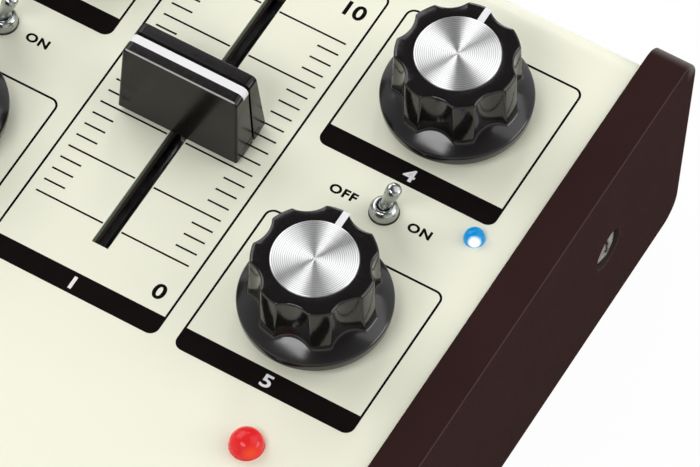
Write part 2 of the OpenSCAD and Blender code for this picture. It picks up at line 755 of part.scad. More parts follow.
top_panel();
case_walls();
base_tray();
cheek(-1);  // left_cheek
cheek(1);  // right_cheek
cheek_screws();
cheek_nuts();
base_screws();
base_nuts();
rubber_feet();
main_board();
board_pillars();
board_screws();
slider_track();
dust_strip();
slider_lever();
slider_cap();
slider_line();
pot(left_rear);  // left_rear_pot
pot(left_front);  // left_front_pot
pot(right_rear);  // right_rear_pot
pot(right_front);  // right_front_pot
pot_washers();
pot_nuts();
shaft(left_rear);  // left_rear_shaft
shaft(left_front);  // left_front_shaft
shaft(right_rear);  // right_rear_shaft
shaft(right_front);  // right_front_shaft
knob(left_rear);  // left_rear_knob
knob(left_front);  // left_front_knob
knob(right_rear);  // right_rear_knob
knob(right_front);  // right_front_knob
disc(left_rear);  // left_rear_disc
disc(left_front);  // left_front_disc
disc(right_rear);  // right_rear_disc
disc(right_front);  // right_front_disc
pointer(left_rear);  // left_rear_pointer
pointer(left_front);  // left_front_pointer
pointer(right_rear);  // right_rear_pointer
pointer(right_front);  // right_front_pointer
toggle_switch(left_toggle);  // left_toggle_switch
toggle_switch(right_toggle);  // right_toggle_switch
toggle_lever(left_toggle);  // left_toggle_lever
toggle_lever(right_toggle);  // right_toggle_lever
foot_switch(left_foot);  // left_foot_switch
foot_switch(right_foot);  // right_foot_switch
plunger(left_foot);  // left_plunger
plunger(right_foot);  // right_plunger
foot_switch_washers();
foot_switch_nuts();
red_lamp(left_lamp);  // left_red_lamp
red_lamp(right_lamp);  // right_red_lamp
blue_lamp_lens();
lamp_spacers();
socket(1);  // input_socket
socket(-1);  // output_socket
socket_nuts();
power_socket();
chips();
capacitors();
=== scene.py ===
"""Looks of a delay pedal: detailed surfaces, finishes, printed panel, light and camera.

Shapes are worked out in millimetres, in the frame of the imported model: X to the right, Y to the rear,
Z up, with the origin on the floor under the middle of the pedal.
"""
import json
import math

import bmesh
import bpy
import numpy as np
from bpy.props import FloatProperty, FloatVectorProperty, IntProperty, PointerProperty
from mathutils import Matrix, Vector
from mathutils.geometry import delaunay_2d_cdt

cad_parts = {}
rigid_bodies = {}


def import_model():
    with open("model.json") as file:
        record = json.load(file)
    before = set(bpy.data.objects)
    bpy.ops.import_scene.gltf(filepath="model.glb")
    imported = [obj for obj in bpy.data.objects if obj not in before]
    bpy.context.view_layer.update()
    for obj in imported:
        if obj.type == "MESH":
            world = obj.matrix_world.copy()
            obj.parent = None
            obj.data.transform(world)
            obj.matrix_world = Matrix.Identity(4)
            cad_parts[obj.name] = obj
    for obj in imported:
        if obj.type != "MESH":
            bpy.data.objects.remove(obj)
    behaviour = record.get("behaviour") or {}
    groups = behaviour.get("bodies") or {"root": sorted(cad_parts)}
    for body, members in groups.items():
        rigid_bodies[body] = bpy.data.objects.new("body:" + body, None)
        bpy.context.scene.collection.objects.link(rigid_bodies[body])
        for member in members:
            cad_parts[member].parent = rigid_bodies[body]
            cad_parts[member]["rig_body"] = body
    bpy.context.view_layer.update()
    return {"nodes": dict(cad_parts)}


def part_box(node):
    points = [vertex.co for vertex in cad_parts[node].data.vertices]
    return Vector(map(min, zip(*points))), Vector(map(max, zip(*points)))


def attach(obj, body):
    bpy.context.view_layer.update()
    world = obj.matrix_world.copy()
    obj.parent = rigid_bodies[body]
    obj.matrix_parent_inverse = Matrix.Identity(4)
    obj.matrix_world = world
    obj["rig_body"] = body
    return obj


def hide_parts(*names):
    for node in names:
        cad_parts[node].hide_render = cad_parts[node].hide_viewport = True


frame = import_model()

bl_info = {
    "name": "Delay Pedal",
    "version": (1, 0, 0),
    "blender": (4, 5, 0),
    "location": "View3D > Sidebar > Pedal",
    "description": "Makes the visible pieces, finishes and stage of a delay pedal",
    "category": "Object",
}

MM = 0.001
# Points nearer than the first are merged, and edges shorter than the second are removed, in metres
MERGE, SLIVER = 2e-7, 1e-7
CORNERS = ("left_rear", "left_front", "right_rear", "right_front")
SIDES = ("left", "right")


def box_mm(node):
    """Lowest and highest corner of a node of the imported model, in millimetres."""
    return tuple(np.array(corner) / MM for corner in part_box(node))


def middle(node):
    """Middle of a node's box, in millimetres."""
    return sum(box_mm(node)) / 2


PANEL_Z = box_mm("top_panel")[1][2]
SLOT_Y = middle("slider_cap")[1]
CHEEK_X = box_mm("right_cheek")[1][0]


def on_panel(node):
    """The point of the panel under the middle of a node."""
    x, y, _ = middle(node)
    return np.array([x, y, PANEL_Z])


# Properties


def length(name, text, value):
    """A size in millimetres, held as a length."""
    return FloatProperty(name=name, description=text, default=value * MM, min=0.0, precision=6,
                         subtype="DISTANCE", unit="LENGTH")


def colour(name, text, value):
    """A colour, in linear light."""
    return FloatVectorProperty(name=name, description=text, default=value, size=3, min=0.0, max=1.0,
                               subtype="COLOR")


class PedalSizes(bpy.types.PropertyGroup):
    """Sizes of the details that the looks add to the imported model"""

    cheek_edge: length("Cheek edge", "Radius of the cheek's outer edges", 0.5)
    recess_lip: length("Recess lip", "Radius of the lip of a screw recess", 0.3)
    ink_height: length("Ink height", "How far the print stands above the panel", 0.02)
    box_line: length("Box line", "Width of the lines round the printed boxes", 0.36)
    tick_line: length("Tick line", "Width of the scale's ticks", 0.3)
    bar_height: length("Bar height", "Height of the black bars", 3.65)
    box_corner: length("Box corner", "Radius of the printed boxes' corners", 1.5)
    flutes: IntProperty(name="Flutes", description="Number of flutes on a knob", default=7, min=3, max=15)
    flute_turn: FloatProperty(name="Flute turn", description="Turn of the flutes from the pointer",
                              default=math.radians(10), subtype="ANGLE", unit="ROTATION")
    flute_radius: length("Flute radius", "Radius of one flute", 4.7)
    flute_depth: length("Flute depth", "Depth of one flute", 1.05)
    flute_soft: length("Flute edge", "Rounding where a flute meets a crest", 0.16)
    knob_edge: length("Knob edge", "Rounding of the knob's top edge", 0.5)
    ring_pitch: length("Ring pitch", "Distance between the turning rings of a disc", 0.32)
    ring_depth: length("Ring depth", "Depth of the turning rings", 0.009)
    cap_corner: length("Cap corner", "Radius of the slider cap's top corners", 1.0)
    cap_edge: length("Cap edge", "Radius of the slider cap's long edges", 0.42)
    thread_pitch: length("Thread pitch", "Pitch of the threads", 0.75)
    thread_depth: length("Thread depth", "Depth of the threads", 0.35)


class PedalColours(bpy.types.PropertyGroup):
    """Colours of the finishes, in linear light"""

    cream: colour("Cream", "Enamel of the case", (0.82, 0.82, 0.675))
    brown: colour("Brown", "Moulded end cheeks", (0.030, 0.0145, 0.0135))
    # Painted highlight along the cheeks' rounded edges, and painted light in their screw recesses
    worn_brown: colour("Worn brown", "Lighter edges of the end cheeks", (0.066, 0.045, 0.043))
    # Painted sheen on the top corners of the end cheeks
    rubbed_brown: colour("Rubbed brown", "Top corners of the end cheeks", (0.22, 0.21, 0.20))
    black: colour("Black", "Knobs and slider cap", (0.0075, 0.0060, 0.0060))
    ink: colour("Ink", "Black print", (0.008, 0.006, 0.006))
    white: colour("White", "White lines and numbers", (0.74, 0.74, 0.75))
    aluminium: colour("Aluminium", "Spun discs and shafts", (0.96, 0.965, 0.97))
    chrome: colour("Chrome", "Nuts, washers and foot buttons", (0.66, 0.67, 0.67))
    nickel: colour("Nickel", "Toggle switches", (0.44, 0.46, 0.44))
    screw: colour("Screw", "Plated cheek screws", (0.17, 0.16, 0.145))
    steel: colour("Steel", "Plated levers and washers", (0.62, 0.62, 0.62))
    zinc: colour("Zinc", "Tray, tracks and nuts inside", (0.50, 0.50, 0.49))
    red: colour("Red", "Lit red lamps", (0.46, 0.008, 0.008))
    red_hot: colour("Red hot", "Hot spot of the red lamps", (0.44, 0.06, 0.012))
    red_glow: colour("Red glow", "Glow of the red lamps", (0.31, 0.012, 0.015))
    blue: colour("Blue", "Lit blue lamp", (0.0, 0.06, 0.16))
    blue_hot: colour("Blue hot", "Hot spot of the blue lamp", (1.0, 1.0, 1.0))
    blue_glow: colour("Blue glow", "Glow of the blue lamp", (0.0, 0.20, 0.45))
    # Painted shade on the walls of the slot
    cut_edge: colour("Cut edge", "Bare sheet at the edge of the slot", (0.26, 0.31, 0.22))
    # Painted glint along the slider cap's front top edge
    rubbed_black: colour("Rubbed black", "Front top edge of the slider cap", (0.42, 0.42, 0.40))
    rubber: colour("Rubber", "Feet", (0.018, 0.018, 0.018))
    fibre: colour("Fibre", "Dust strip under the slot", (0.038, 0.027, 0.024))
    nylon: colour("Nylon", "Rear sockets", (0.012, 0.012, 0.013))
    board: colour("Board", "Circuit board", (0.015, 0.085, 0.035))
    brass: colour("Brass", "Pillars of the board", (0.62, 0.44, 0.16))
    pale_nylon: colour("Pale nylon", "Spacers of the lamps", (0.72, 0.71, 0.65))
    chip: colour("Chip", "Chips on the board", (0.011, 0.011, 0.013))
    film: colour("Film", "Sleeves of the capacitors", (0.016, 0.022, 0.065))
    housing: colour("Housing", "Housings of the foot switches", (0.02, 0.035, 0.10))


class PedalStage(bpy.types.PropertyGroup):
    """Light and camera"""

    lamp_level: FloatProperty(name="Lamp level", description="Factor on the strength of all lamps",
                              default=1.0, min=0.0, max=4.0)
    lens: length("Lens", "Focal length of the camera", 348.25)
    floor_glow: FloatProperty(name="Floor glow", description="How far the floor shows as plain white",
                              default=0.97, min=0.0, max=1.0, subtype="FACTOR")


def size(key):
    """A size of the details, in millimetres."""
    return getattr(bpy.context.scene.pedal_sizes, key) / MM


def plain(key):
    """A count among the sizes, or an angle in radians."""
    return getattr(bpy.context.scene.pedal_sizes, key)


def tint(key):
    """A colour of the finishes."""
    return tuple(getattr(bpy.context.scene.pedal_colours, key))


# Surfaces


def unit(v):
    """Vectors brought to length one."""
    return v / np.linalg.norm(v, axis=-1, keepdims=True)


def grid(points, ring=False):
    """A surface of four-sided faces on a grid of points: its last column joins its first, and with ring its
    last row joins its first too."""
    rows, columns = points.shape[:2]
    index = np.arange(rows * columns).reshape(rows, columns)
    index = np.concatenate([index, index[:, :1]], 1)
    if ring:
        index = np.concatenate([index, index[:1]], 0)
    faces = np.stack([index[:-1, :-1], index[:-1, 1:], index[1:, 1:], index[1:, :-1]], -1)
    return points.reshape(-1, 3), [faces.reshape(-1, 4)]


def capped(points):
    """A tube on rows of points, with a flat face on its first and on its last row."""
    flat, blocks = grid(points)
    ends = np.arange(len(flat)).reshape(points.shape[:2])[[0, -1]]
    return flat, blocks + [ends[:1, ::-1], ends[1:]]


def joined(parts):
    """Several surfaces as one: their points in one array, and their faces in blocks of equal corner count."""
    starts = np.cumsum([0] + [len(points) for points, _ in parts])
    blocks = [block + start for (_, own), start in zip(parts, starts) for block in own]
    return np.concatenate([points for points, _ in parts]), blocks


def read(items, key, width=1, kind=float):
    """One property of all items of a mesh, as an array."""
    values = np.empty(len(items) * width, kind)
    items.foreach_get(key, values)
    return values.reshape(-1, width).squeeze()


def moved(part, at=(0, 0, 0), axes=np.eye(3)):
    """A surface turned so that its own axes become the rows of axes, and then shifted."""
    return part[0] @ np.asarray(axes, float) + np.asarray(at, float), part[1]


def at_corners(part, x, y, z=0.0, axes=np.eye(3)):
    """A surface at four places: left and right, front and rear."""
    return [moved(part, (sx * x, sy * y, z), axes) for sx in (-1, 1) for sy in (-1, 1)]


ALONG_Y = [[1, 0, 0], [0, 0, -1], [0, 1, 0]]
ALONG_X = [[0, 0, -1], [0, 1, 0], [1, 0, 0]]
ALONG_BACK_X = [[0, 0, 1], [0, 1, 0], [-1, 0, 0]]
DOWN = [[1, 0, 0], [0, -1, 0], [0, 0, -1]]
ROUND = np.radians(np.arange(0, 360, 3.75))
FINE_ROUND = np.radians(np.arange(0, 360, 3.0))


def lathe(rows, angles=ROUND, ring=False):
    """A surface about the upright axis: each row is a radius and a height, and either may be one number
    or one number for each angle. Ring closes a section that doesn't meet the axis."""
    radius = np.array([np.broadcast_to(np.asarray(r, float), angles.shape) for r, _ in rows])
    height = np.array([np.broadcast_to(np.asarray(z, float), angles.shape) for _, z in rows])
    return grid(np.stack([radius * np.cos(angles), radius * np.sin(angles), height], -1), ring)


def rounded(points, reaches, steps=4):
    """A line through the points whose corners are quadratic arcs that start and end at the given reach."""
    points = np.asarray(points, float)
    count = points.shape[-2]
    t = np.linspace(0, 1, steps + 1)[:, None]
    rows = []
    for i, reach in enumerate(reaches):
        here = points[..., i, :]
        if reach == 0:
            rows.append(here[..., None, :])
            continue
        back = here + unit(points[..., i - 1, :] - here) * reach
        ahead = here + unit(points[..., (i + 1) % count, :] - here) * reach
        rows.append((1 - t) ** 2 * back[..., None, :] + 2 * t * (1 - t) * here[..., None, :]
                    + t ** 2 * ahead[..., None, :])
    return np.concatenate(rows, -2)


def turned(rows, steps=4, ring=False):
    """A surface about the upright axis, from rows of radius, height and the rounding of the corner there."""
    rows = np.array(rows, float)
    return lathe(rounded(rows[:, :2], rows[:, 2], steps), ring=ring)


def outline(points, radii, inset=0.0, steps=8):
    """A convex outline drawn in by inset, with an arc of its own radius at each corner: the arc's middle lies
    inset plus the arc's radius inside both sides. The points run counter-clockwise."""
    p = np.asarray(points, float)
    ahead = unit(np.roll(p, -1, 0) - p)
    after = np.stack([-ahead[:, 1], ahead[:, 0]], 1)
    before = np.roll(after, 1, 0)
    shift = (before + after) / (1 + (before * after).sum(1, keepdims=True))
    radius = np.maximum(np.asarray(radii, float) - inset, 0)
    centre = p + shift * (radius + inset)[:, None]
    first = np.arctan2(-before[:, 1], -before[:, 0])
    sweep = (np.arctan2(-after[:, 1], -after[:, 0]) - first) % (2 * np.pi)
    angle = first[:, None] + sweep[:, None] * np.linspace(0, 1, steps + 1)
    ring = np.stack([np.cos(angle), np.sin(angle)], -1)
    return (centre[:, None] + radius[:, None, None] * ring).reshape(-1, 2)


def rectangle(x0, y0, x1, y1):
    """Corners of a rectangle, counter-clockwise."""
    return [(x0, y0), (x1, y0), (x1, y1), (x0, y1)]


def lifted(flat, height):
    """Flat points set at a height."""
    return np.column_stack([flat, np.full(len(flat), height)])


def upright(face, y):
    """Points of an upright face, across and up, set at a depth."""
    return np.column_stack([face[:, 0], np.full(len(face), y), face[:, 1]])


def loft(sections, heights):
    """A closed solid through flat sections of equal point count, each at its own height, with flat ends."""
    return capped(np.stack([lifted(section, height) for section, height in zip(sections, heights)]))


def quarter(edge, steps=5):
    """Steps of a quarter circle that rounds an edge: how far each has left the first side, the radius times 1
    less the cosine, and how far it is from the second side, the radius times 1 less the sine."""
    t = np.radians(np.linspace(0, 90, steps))
    return edge * (1 - np.cos(t)), edge * (1 - np.sin(t))


def slab(points, radii, low, high, edge=0.0):
    """A flat solid on an outline, drawn in along a quarter circle where it nears either face."""
    if edge == 0:
        ring = outline(points, radii)
        return loft([ring, ring], [low, high])
    rise, inset = quarter(edge)
    heights = np.concatenate([low + rise, high - rise[::-1]])
    return loft([outline(points, radii, i) for i in (*inset, *inset[::-1])], heights)


def frame_line(path, width, low, high):
    """A thin solid along a closed flat path: its section is a rectangle set square to the path."""
    along = unit(np.roll(path, -1, 0) - np.roll(path, 1, 0))
    side = np.stack([-along[:, 1], along[:, 0]], 1) * width / 2
    section = [(path + side, low), (path - side, low), (path - side, high), (path + side, high)]
    return grid(np.stack([lifted(flat, height) for flat, height in section], 1), ring=True)


def flat_face(ring, holes, height):
    """A flat face inside a ring of points with round holes: a triangulation, less each triangle whose three
    corners lie on one hole's rim."""
    loops = [np.asarray(ring)] + [centre + radius * np.column_stack([np.cos(ROUND), np.sin(ROUND)])
                                  for centre, radius in holes]
    steps = [np.arange(len(loop)) for loop in loops]
    starts = np.cumsum([0] + [len(loop) for loop in loops])
    edges = np.concatenate([start + np.column_stack([step, np.roll(step, -1)])
                            for step, start in zip(steps, starts)])
    points, inside, near, margin = np.concatenate(loops).tolist(), 1, 1e-6, 1.001
    corners, _, faces, *_ = delaunay_2d_cdt(points, edges.tolist(), [], inside, near)
    corners, faces = np.array(corners), np.array(faces)
    keep = np.ones(len(faces), bool)
    for centre, radius in holes:
        keep &= (np.linalg.norm(corners[faces] - centre, axis=2) > radius * margin).any(1)
    return lifted(corners, height), [faces[keep]]


def soft_min(a, b, width):
    """The smaller of two numbers, with the change from one to the other rounded over a width."""
    h = np.clip(0.5 + 0.5 * (b - a) / width, 0, 1)
    return b * (1 - h) + a * h - width * h * (1 - h)


def smooth_step(x):
    """Runs from 0 to 1 as x does, with no corner at either end."""
    x = np.clip(x, 0, 1)
    return x * x * (3 - 2 * x)


def oblong(w, d, angles):
    """Radius of a rectangle at each angle: the nearer of its two pairs of sides."""
    tiny = 1e-9
    reach = np.stack([w / 2 / np.maximum(np.abs(np.cos(angles)), tiny),
                      d / 2 / np.maximum(np.abs(np.sin(angles)), tiny)])
    return reach.min(0)


def oblong_angles(w, d, steps=12):
    """Angles round a rectangle that meet its four corners, and steps more on each side."""
    corner = math.atan2(d, w)
    corners = np.array([-corner, corner, np.pi - corner, np.pi + corner, 2 * np.pi - corner])
    return np.concatenate([np.linspace(start, end, steps, endpoint=False)
                           for start, end in zip(corners[:-1], corners[1:])])


def thread_rows(radius, low, high, angles=ROUND):
    """Rows of a thread: the radius falls and rises once in a pitch, shifted by one pitch for each turn."""
    pitch, depth, rows_each = size("thread_pitch"), size("thread_depth"), 6
    heights = np.arange(low, high, pitch / rows_each)
    wave = 0.5 - 0.5 * np.cos(2 * np.pi * heights[:, None] / pitch - angles)
    fade = np.minimum(1, (high - heights) / pitch)[:, None]
    return list(zip(radius - depth * wave * fade, heights)) + [(radius - depth, high)]


# Pieces


def make(name, parts, *look, **how):
    """One piece from surfaces in millimetres, joined in one mesh; the rest is as settle takes it."""
    points, blocks = joined(parts)
    mesh = bpy.data.meshes.new(name)
    mesh.from_pydata(points * MM, [], [face for block in blocks for face in block.tolist()])
    return settle(name, mesh, *look, **how)


def settle(name, mesh, finish, slot=None, replaces=(), body="case", sharp=40, weighted=False, flat=None):
    """Merges a mesh's doubles, turns its faces outwards, shades it smooth but for edges above the sharp angle
    and faces square to the flat direction, gives it a finish by name and hands it to the body it rides on."""
    edit = bmesh.new()
    edit.from_mesh(mesh)
    bmesh.ops.remove_doubles(edit, verts=edit.verts, dist=MERGE)
    bmesh.ops.dissolve_degenerate(edit, edges=edit.edges, dist=SLIVER)
    bmesh.ops.recalc_face_normals(edit, faces=edit.faces)
    edit.to_mesh(mesh)
    edit.free()
    mesh.shade_smooth()
    mesh.set_sharp_from_angle(angle=math.radians(sharp))
    if flat:
        square = np.abs(read(mesh.polygons, "normal", 3) @ flat) >= 0.9999
        mesh.polygons.foreach_set("use_smooth", ~square)
    wear(mesh, finish)
    piece = bpy.data.objects.new(name, mesh)
    bpy.context.scene.collection.objects.link(piece)
    if weighted:
        modifier = piece.modifiers.new("flats", "WEIGHTED_NORMAL")
        modifier.keep_sharp = True
    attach(piece, body)
    if replaces:
        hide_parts(*replaces)
    return piece


def body_of(node):
    """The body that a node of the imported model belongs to."""
    return frame["nodes"][node]["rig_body"]


def wear(mesh, finish):
    """Gives a mesh a finish, by name, as its only material."""
    mesh.materials.clear()
    mesh.materials.append(finished(finish))


# Finishes


def put(socket, value):
    """Links a socket to another node's output, or sets its value; a colour's three numbers become opaque."""
    if isinstance(value, bpy.types.NodeSocket):
        socket.id_data.links.new(value, socket)
    elif socket.type == "RGBA":
        socket.default_value = (*value, 1)
    else:
        socket.default_value = value


def add(tree, kind, out, *values, **named):
    """Adds a node and returns one of its outputs: a named value goes to the input of that name, or to the
    node's setting where there is no such input, and the other values fill the inputs in their order."""
    node = tree.nodes.new(f"ShaderNode{kind}")
    for key, value in named.items():
        socket = node.inputs.get(key.replace("_", " ").title())
        if socket is None:
            setattr(node, key, value)
        else:
            put(socket, value)
    for socket, value in zip(node.inputs, values):
        put(socket, value)
    return node.outputs[out]


def reckon(tree, operation, *values):
    """The result of a sum on values or outputs."""
    return add(tree, "Math", "Value", *values, operation=operation)


def ramp(tree, value, low, high, to_low=0.0, to_high=1.0, **settings):
    """Goes from to_low to to_high while a value goes from low to high."""
    return add(tree, "MapRange", "Result", value, low, high, to_low, to_high, **settings)


def rising(tree, value, low, high):
    """Goes softly from 0 to 1 between two places, in millimetres."""
    return ramp(tree, value, low * MM, high * MM, interpolation_type="SMOOTHSTEP")


def mixed(tree, factor, first, second):
    """A colour between two, by a factor."""
    return add(tree, "Mix", "Result", data_type="RGBA", factor=factor, a=first, b=second)


def parted(tree, vector):
    """The X, Y and Z of a vector."""
    return add(tree, "SeparateXYZ", "X", vector).node.outputs


def away(tree, place, centre, scale=(1, 1, 1)):
    """Distance from a point in millimetres, or from a line along X through it where the scale of X is 0."""
    shifted = add(tree, "Mapping", "Vector", vector=place, location=[-c * MM for c in centre], scale=scale)
    return add(tree, "VectorMath", "Value", shifted, operation="LENGTH")


def blank(name):
    """A new material, its tree of nodes and its shader."""
    made = bpy.data.materials.new(name)
    made.use_nodes = True
    return made, made.node_tree, made.node_tree.nodes["Principled BSDF"]


def fill(shader, inputs):
    """Sets or links several of a shader's inputs."""
    for key, value in inputs.items():
        put(shader.inputs[key], value)


def opened(made):
    """A finish's tree, its shader's inputs, Object coordinates in it, and what its colour comes from."""
    tree = made.node_tree
    shader = tree.nodes["Principled BSDF"].inputs
    return tree, shader, add(tree, "TexCoord", "Object"), shader["Base Color"].links[0].from_socket


def finish(name, base, roughness, spread, metallic, mottle, grain=(900.0, 0.1, 0.01), specular=0.5):
    """A finish on Object coordinates: broad noise mottles the colour, and fine noise changes the roughness
    and lifts the surface. Mottle is scale and amount, grain is scale, strength and height in millimetres."""
    made, tree, shader = blank(name)
    place = add(tree, "TexCoord", "Object")
    broad = add(tree, "TexNoise", "Fac", vector=place, scale=mottle[0], detail=4)
    fine = add(tree, "TexNoise", "Fac", vector=place, scale=grain[0], detail=3)
    darker, lighter = ([min(1, c * (1 + change)) for c in tint(base)] for change in (-mottle[1], mottle[1]))
    # Most of the noise lies between 0.3 and 0.7
    usual, roughs = (0.3, 0.7), (max(0.02, roughness - spread), min(1.0, roughness + spread))
    lift = add(tree, "Bump", "Normal", strength=grain[1], distance=grain[2] * MM, height=fine)
    fill(shader, {"Base Color": mixed(tree, broad, darker, lighter), "Normal": lift, "Metallic": metallic,
                  "Roughness": ramp(tree, fine, *usual, *roughs), "Specular IOR Level": specular})
    return made


def skirt_finish(name, base, gloss, satin, height):
    """A knob's finish: satin below a height on Object coordinates and polished above it."""
    made = finish(name, base, gloss, 0.04, 0.0, (200.0, 0.2), (1800.0, 0.05, 0.005))
    tree, shader, place, _ = opened(made)
    polished = shader["Roughness"].links[0].from_socket
    soft = 0.2
    above = ramp(tree, parted(tree, place)["Z"], (height - soft) * MM, (height + soft) * MM)
    put(shader["Roughness"], add(tree, "Mix", "Result", factor=above, a=satin, b=polished))
    return made


def edge_finish(name, base, worn, rubbed):
    """A moulding with light painted into its colour on Object coordinates, taken on one side of both middle
    planes:
    a painted highlight along its rounded edges, painted light that lifts the shade in the screw recesses and,
    most of all, a painted sheen on its top corners."""
    made = finish(name, base, 0.42, 0.08, 0.0, (120.0, 0.10), (2600.0, 0.12, 0.008), 0.0008)
    tree, shader, place, colour_in = opened(made)
    _, reach, top = box_mm("right_cheek")[1]
    side = add(tree, "VectorMath", "Vector", place, operation="ABSOLUTE")
    x, y, z = parted(tree, side)
    # The painted highlight on the rim starts, peaks and ends at these parts of the edge, from the outer face
    # in
    start, peak, end = (CHEEK_X - part * size("cheek_edge") for part in (0.55, 0.26, 0.02))
    rim = reckon(tree, "SUBTRACT", rising(tree, x, start, peak), rising(tree, x, peak, end))
    # Painted light in the screw recesses, which lifts the shade on their walls
    far = away(tree, side, (0, *PEDAL_OT_cheeks.screw_place()), (0, 1, 1))
    margin = 0.02
    well = reckon(tree, "LESS_THAN", far, (PEDAL_OT_cheeks.recess_r + margin) * MM)
    line = reckon(tree, "MAXIMUM", rim, well)
    # A painted sheen on the top corners, lightest at their very end and top
    corner_w, corner_low, corner_high = 3.4, 4.5, 1.0
    corner = reckon(tree, "MULTIPLY", rising(tree, y, reach - corner_w, reach),
                    rising(tree, z, top - corner_low, top - corner_high))
    # Painted light mixed into the colour: the highlight on the rim and in the recesses, then the sheen on the
    # corners
    for mask, lighter in ((line, worn), (corner, rubbed)):
        colour_in = mixed(tree, mask, colour_in, tint(lighter))
    put(shader["Base Color"], colour_in)
    return made


def slot_finish(name, enamel, wall_shade, half, reach, top):
    """Enamel with painted shade at the slot: below the panel's top, a box about the slot on Object
    coordinates gives the sheet's edge, which forms the slot's walls, a darker greenish grey that stands for
    their shade."""
    made = finish(name, *enamel)
    tree, shader, place, painted = opened(made)
    x, y, z = parted(tree, add(tree, "Mapping", "Vector", vector=place, location=(0, -SLOT_Y * MM, 0)))
    near = [reckon(tree, "COMPARE", value, 0.0, limit * MM) for value, limit in ((x, half), (y, reach))]
    under = reckon(tree, "LESS_THAN", z, top * MM)
    inside = reckon(tree, "MULTIPLY", reckon(tree, "MULTIPLY", *near), under)
    # The walls of the slot get painted shade
    put(shader["Base Color"], mixed(tree, inside, painted, tint(wall_shade)))
    return made


def lamp_finish(name, node, base, spot, hot, glow, strength, reach):
    """A lit lens: its glow runs from the hot spot's colour to the one about it, by distance from the spot."""
    made = finish(name, base, 0.16, 0.02, 0.0, (300.0, 0.05), (1500.0, 0.02, 0.002), 0.22)
    tree, shader, place, _ = opened(made)
    spread = ramp(tree, away(tree, place, on_panel(node) + spot), reach[0] * MM, reach[1] * MM)
    put(shader["Emission Color"], mixed(tree, spread, tint(hot), tint(glow)))
    put(shader["Emission Strength"], strength)
    return made


def ridge_finish(name, base, light, reach):
    """The slider cap's moulding with a painted glint along its front top edge: the colour follows the
    distance from the line on which that edge runs."""
    made = finish(name, base, 0.19, 0.05, 0.0, (200.0, 0.2), (1800.0, 0.06, 0.006), 0.26)
    tree, shader, place, moulded = opened(made)
    inset = 0.12
    front, top = middle("slider_cap")[1] - PEDAL_OT_slider.half_w_top, box_mm("slider_cap")[1][2]
    far = away(tree, place, (0, front + inset, top - inset), (0, 1, 1))
    spread = ramp(tree, far, reach[0] * MM, reach[1] * MM)
    # The painted glint is mixed in near the edge
    put(shader["Base Color"], mixed(tree, spread, tint(light), moulded))
    return made


def spun_finish(name, base):
    """Turned metal: even rings and finer uneven ones change its brightness along the piece's radius map."""
    made, tree, shader = blank(name)
    uv = add(tree, "UVMap", "UV", uv_map="turned")
    stretched = add(tree, "Mapping", "Vector", vector=uv, scale=(0.5, 30.0, 1.0))
    rings = add(tree, "TexNoise", "Fac", vector=stretched, scale=1.0, detail=3)
    even = add(tree, "TexWave", "Fac", bands_direction="Y", vector=uv, scale=6.6, distortion=0.6, detail=2)
    uneven_share, shade, smoothest, roughest = 0.3, 0.45, 0.27, 0.36
    both = add(tree, "Mix", "Result", factor=uneven_share, a=ramp(tree, even, 0.0, 0.5), b=rings)
    darker = [c * shade for c in tint(base)]
    lift = add(tree, "Bump", "Normal", strength=0.10, distance=0.01 * MM, height=rings)
    fill(shader, {"Base Color": mixed(tree, both, darker, tint(base)), "Normal": lift, "Metallic": 1.0,
                  "Roughness": ramp(tree, rings, 0.0, 1.0, smoothest, roughest), "Anisotropic": 1.0,
                  "Anisotropic Rotation": 0.25})
    return made


# Plain finishes: colour, roughness and its spread, metallic, mottle, grain and specular level
ENAMEL = ("cream", 0.42, 0.05, 0.0, (30.0, 0.012), (1400.0, 0.12, 0.012), 0.4)
PLAIN = {
    "cream_enamel": ENAMEL,
    "screw_plate": ("screw", 0.24, 0.05, 1.0, (200.0, 0.10), (1800.0, 0.05, 0.005)),
    "white_fill": ("white", 0.45, 0.06, 0.0, (300.0, 0.03), (2500.0, 0.1, 0.01)),
    "black_ink": ("ink", 0.55, 0.06, 0.0, (300.0, 0.25), (3000.0, 0.12, 0.008), 0.0),
    "white_ink": ("white", 0.5, 0.06, 0.0, (300.0, 0.03), (3000.0, 0.1, 0.008)),
    "chrome_plate": ("chrome", 0.18, 0.02, 1.0, (150.0, 0.06), (2200.0, 0.03, 0.003)),
    "nickel_plate": ("nickel", 0.24, 0.012, 1.0, (150.0, 0.06), (2200.0, 0.02, 0.002)),
    "plated_steel": ("steel", 0.24, 0.08, 1.0, (200.0, 0.10), (1800.0, 0.1, 0.01)),
    "zinc_plate": ("zinc", 0.38, 0.10, 1.0, (90.0, 0.15), (900.0, 0.12, 0.01)),
    "turned_shaft": ("aluminium", 0.3, 0.08, 1.0, (200.0, 0.08)),
    "black_rubber": ("rubber", 0.75, 0.06, 0.0, (150.0, 0.2), (1500.0, 0.3, 0.03)),
    "black_fibre": ("fibre", 0.8, 0.06, 0.0, (300.0, 0.3), (2500.0, 0.3, 0.03), 0.2),
    "black_nylon": ("nylon", 0.45, 0.06, 0.0, (200.0, 0.2), (1500.0, 0.15, 0.015)),
    "solder_mask": ("board", 0.3, 0.06, 0.0, (250.0, 0.25), (700.0, 0.1, 0.01)),
    "turned_brass": ("brass", 0.25, 0.08, 1.0, (200.0, 0.10)),
    "white_nylon": ("pale_nylon", 0.5, 0.06, 0.0, (200.0, 0.05)),
    "chip_epoxy": ("chip", 0.55, 0.06, 0.0, (300.0, 0.2), (2000.0, 0.25, 0.02)),
    "sleeve_film": ("film", 0.25, 0.06, 0.0, (120.0, 0.15)),
    "switch_moulding": ("housing", 0.4, 0.06, 0.0, (150.0, 0.12)),
}
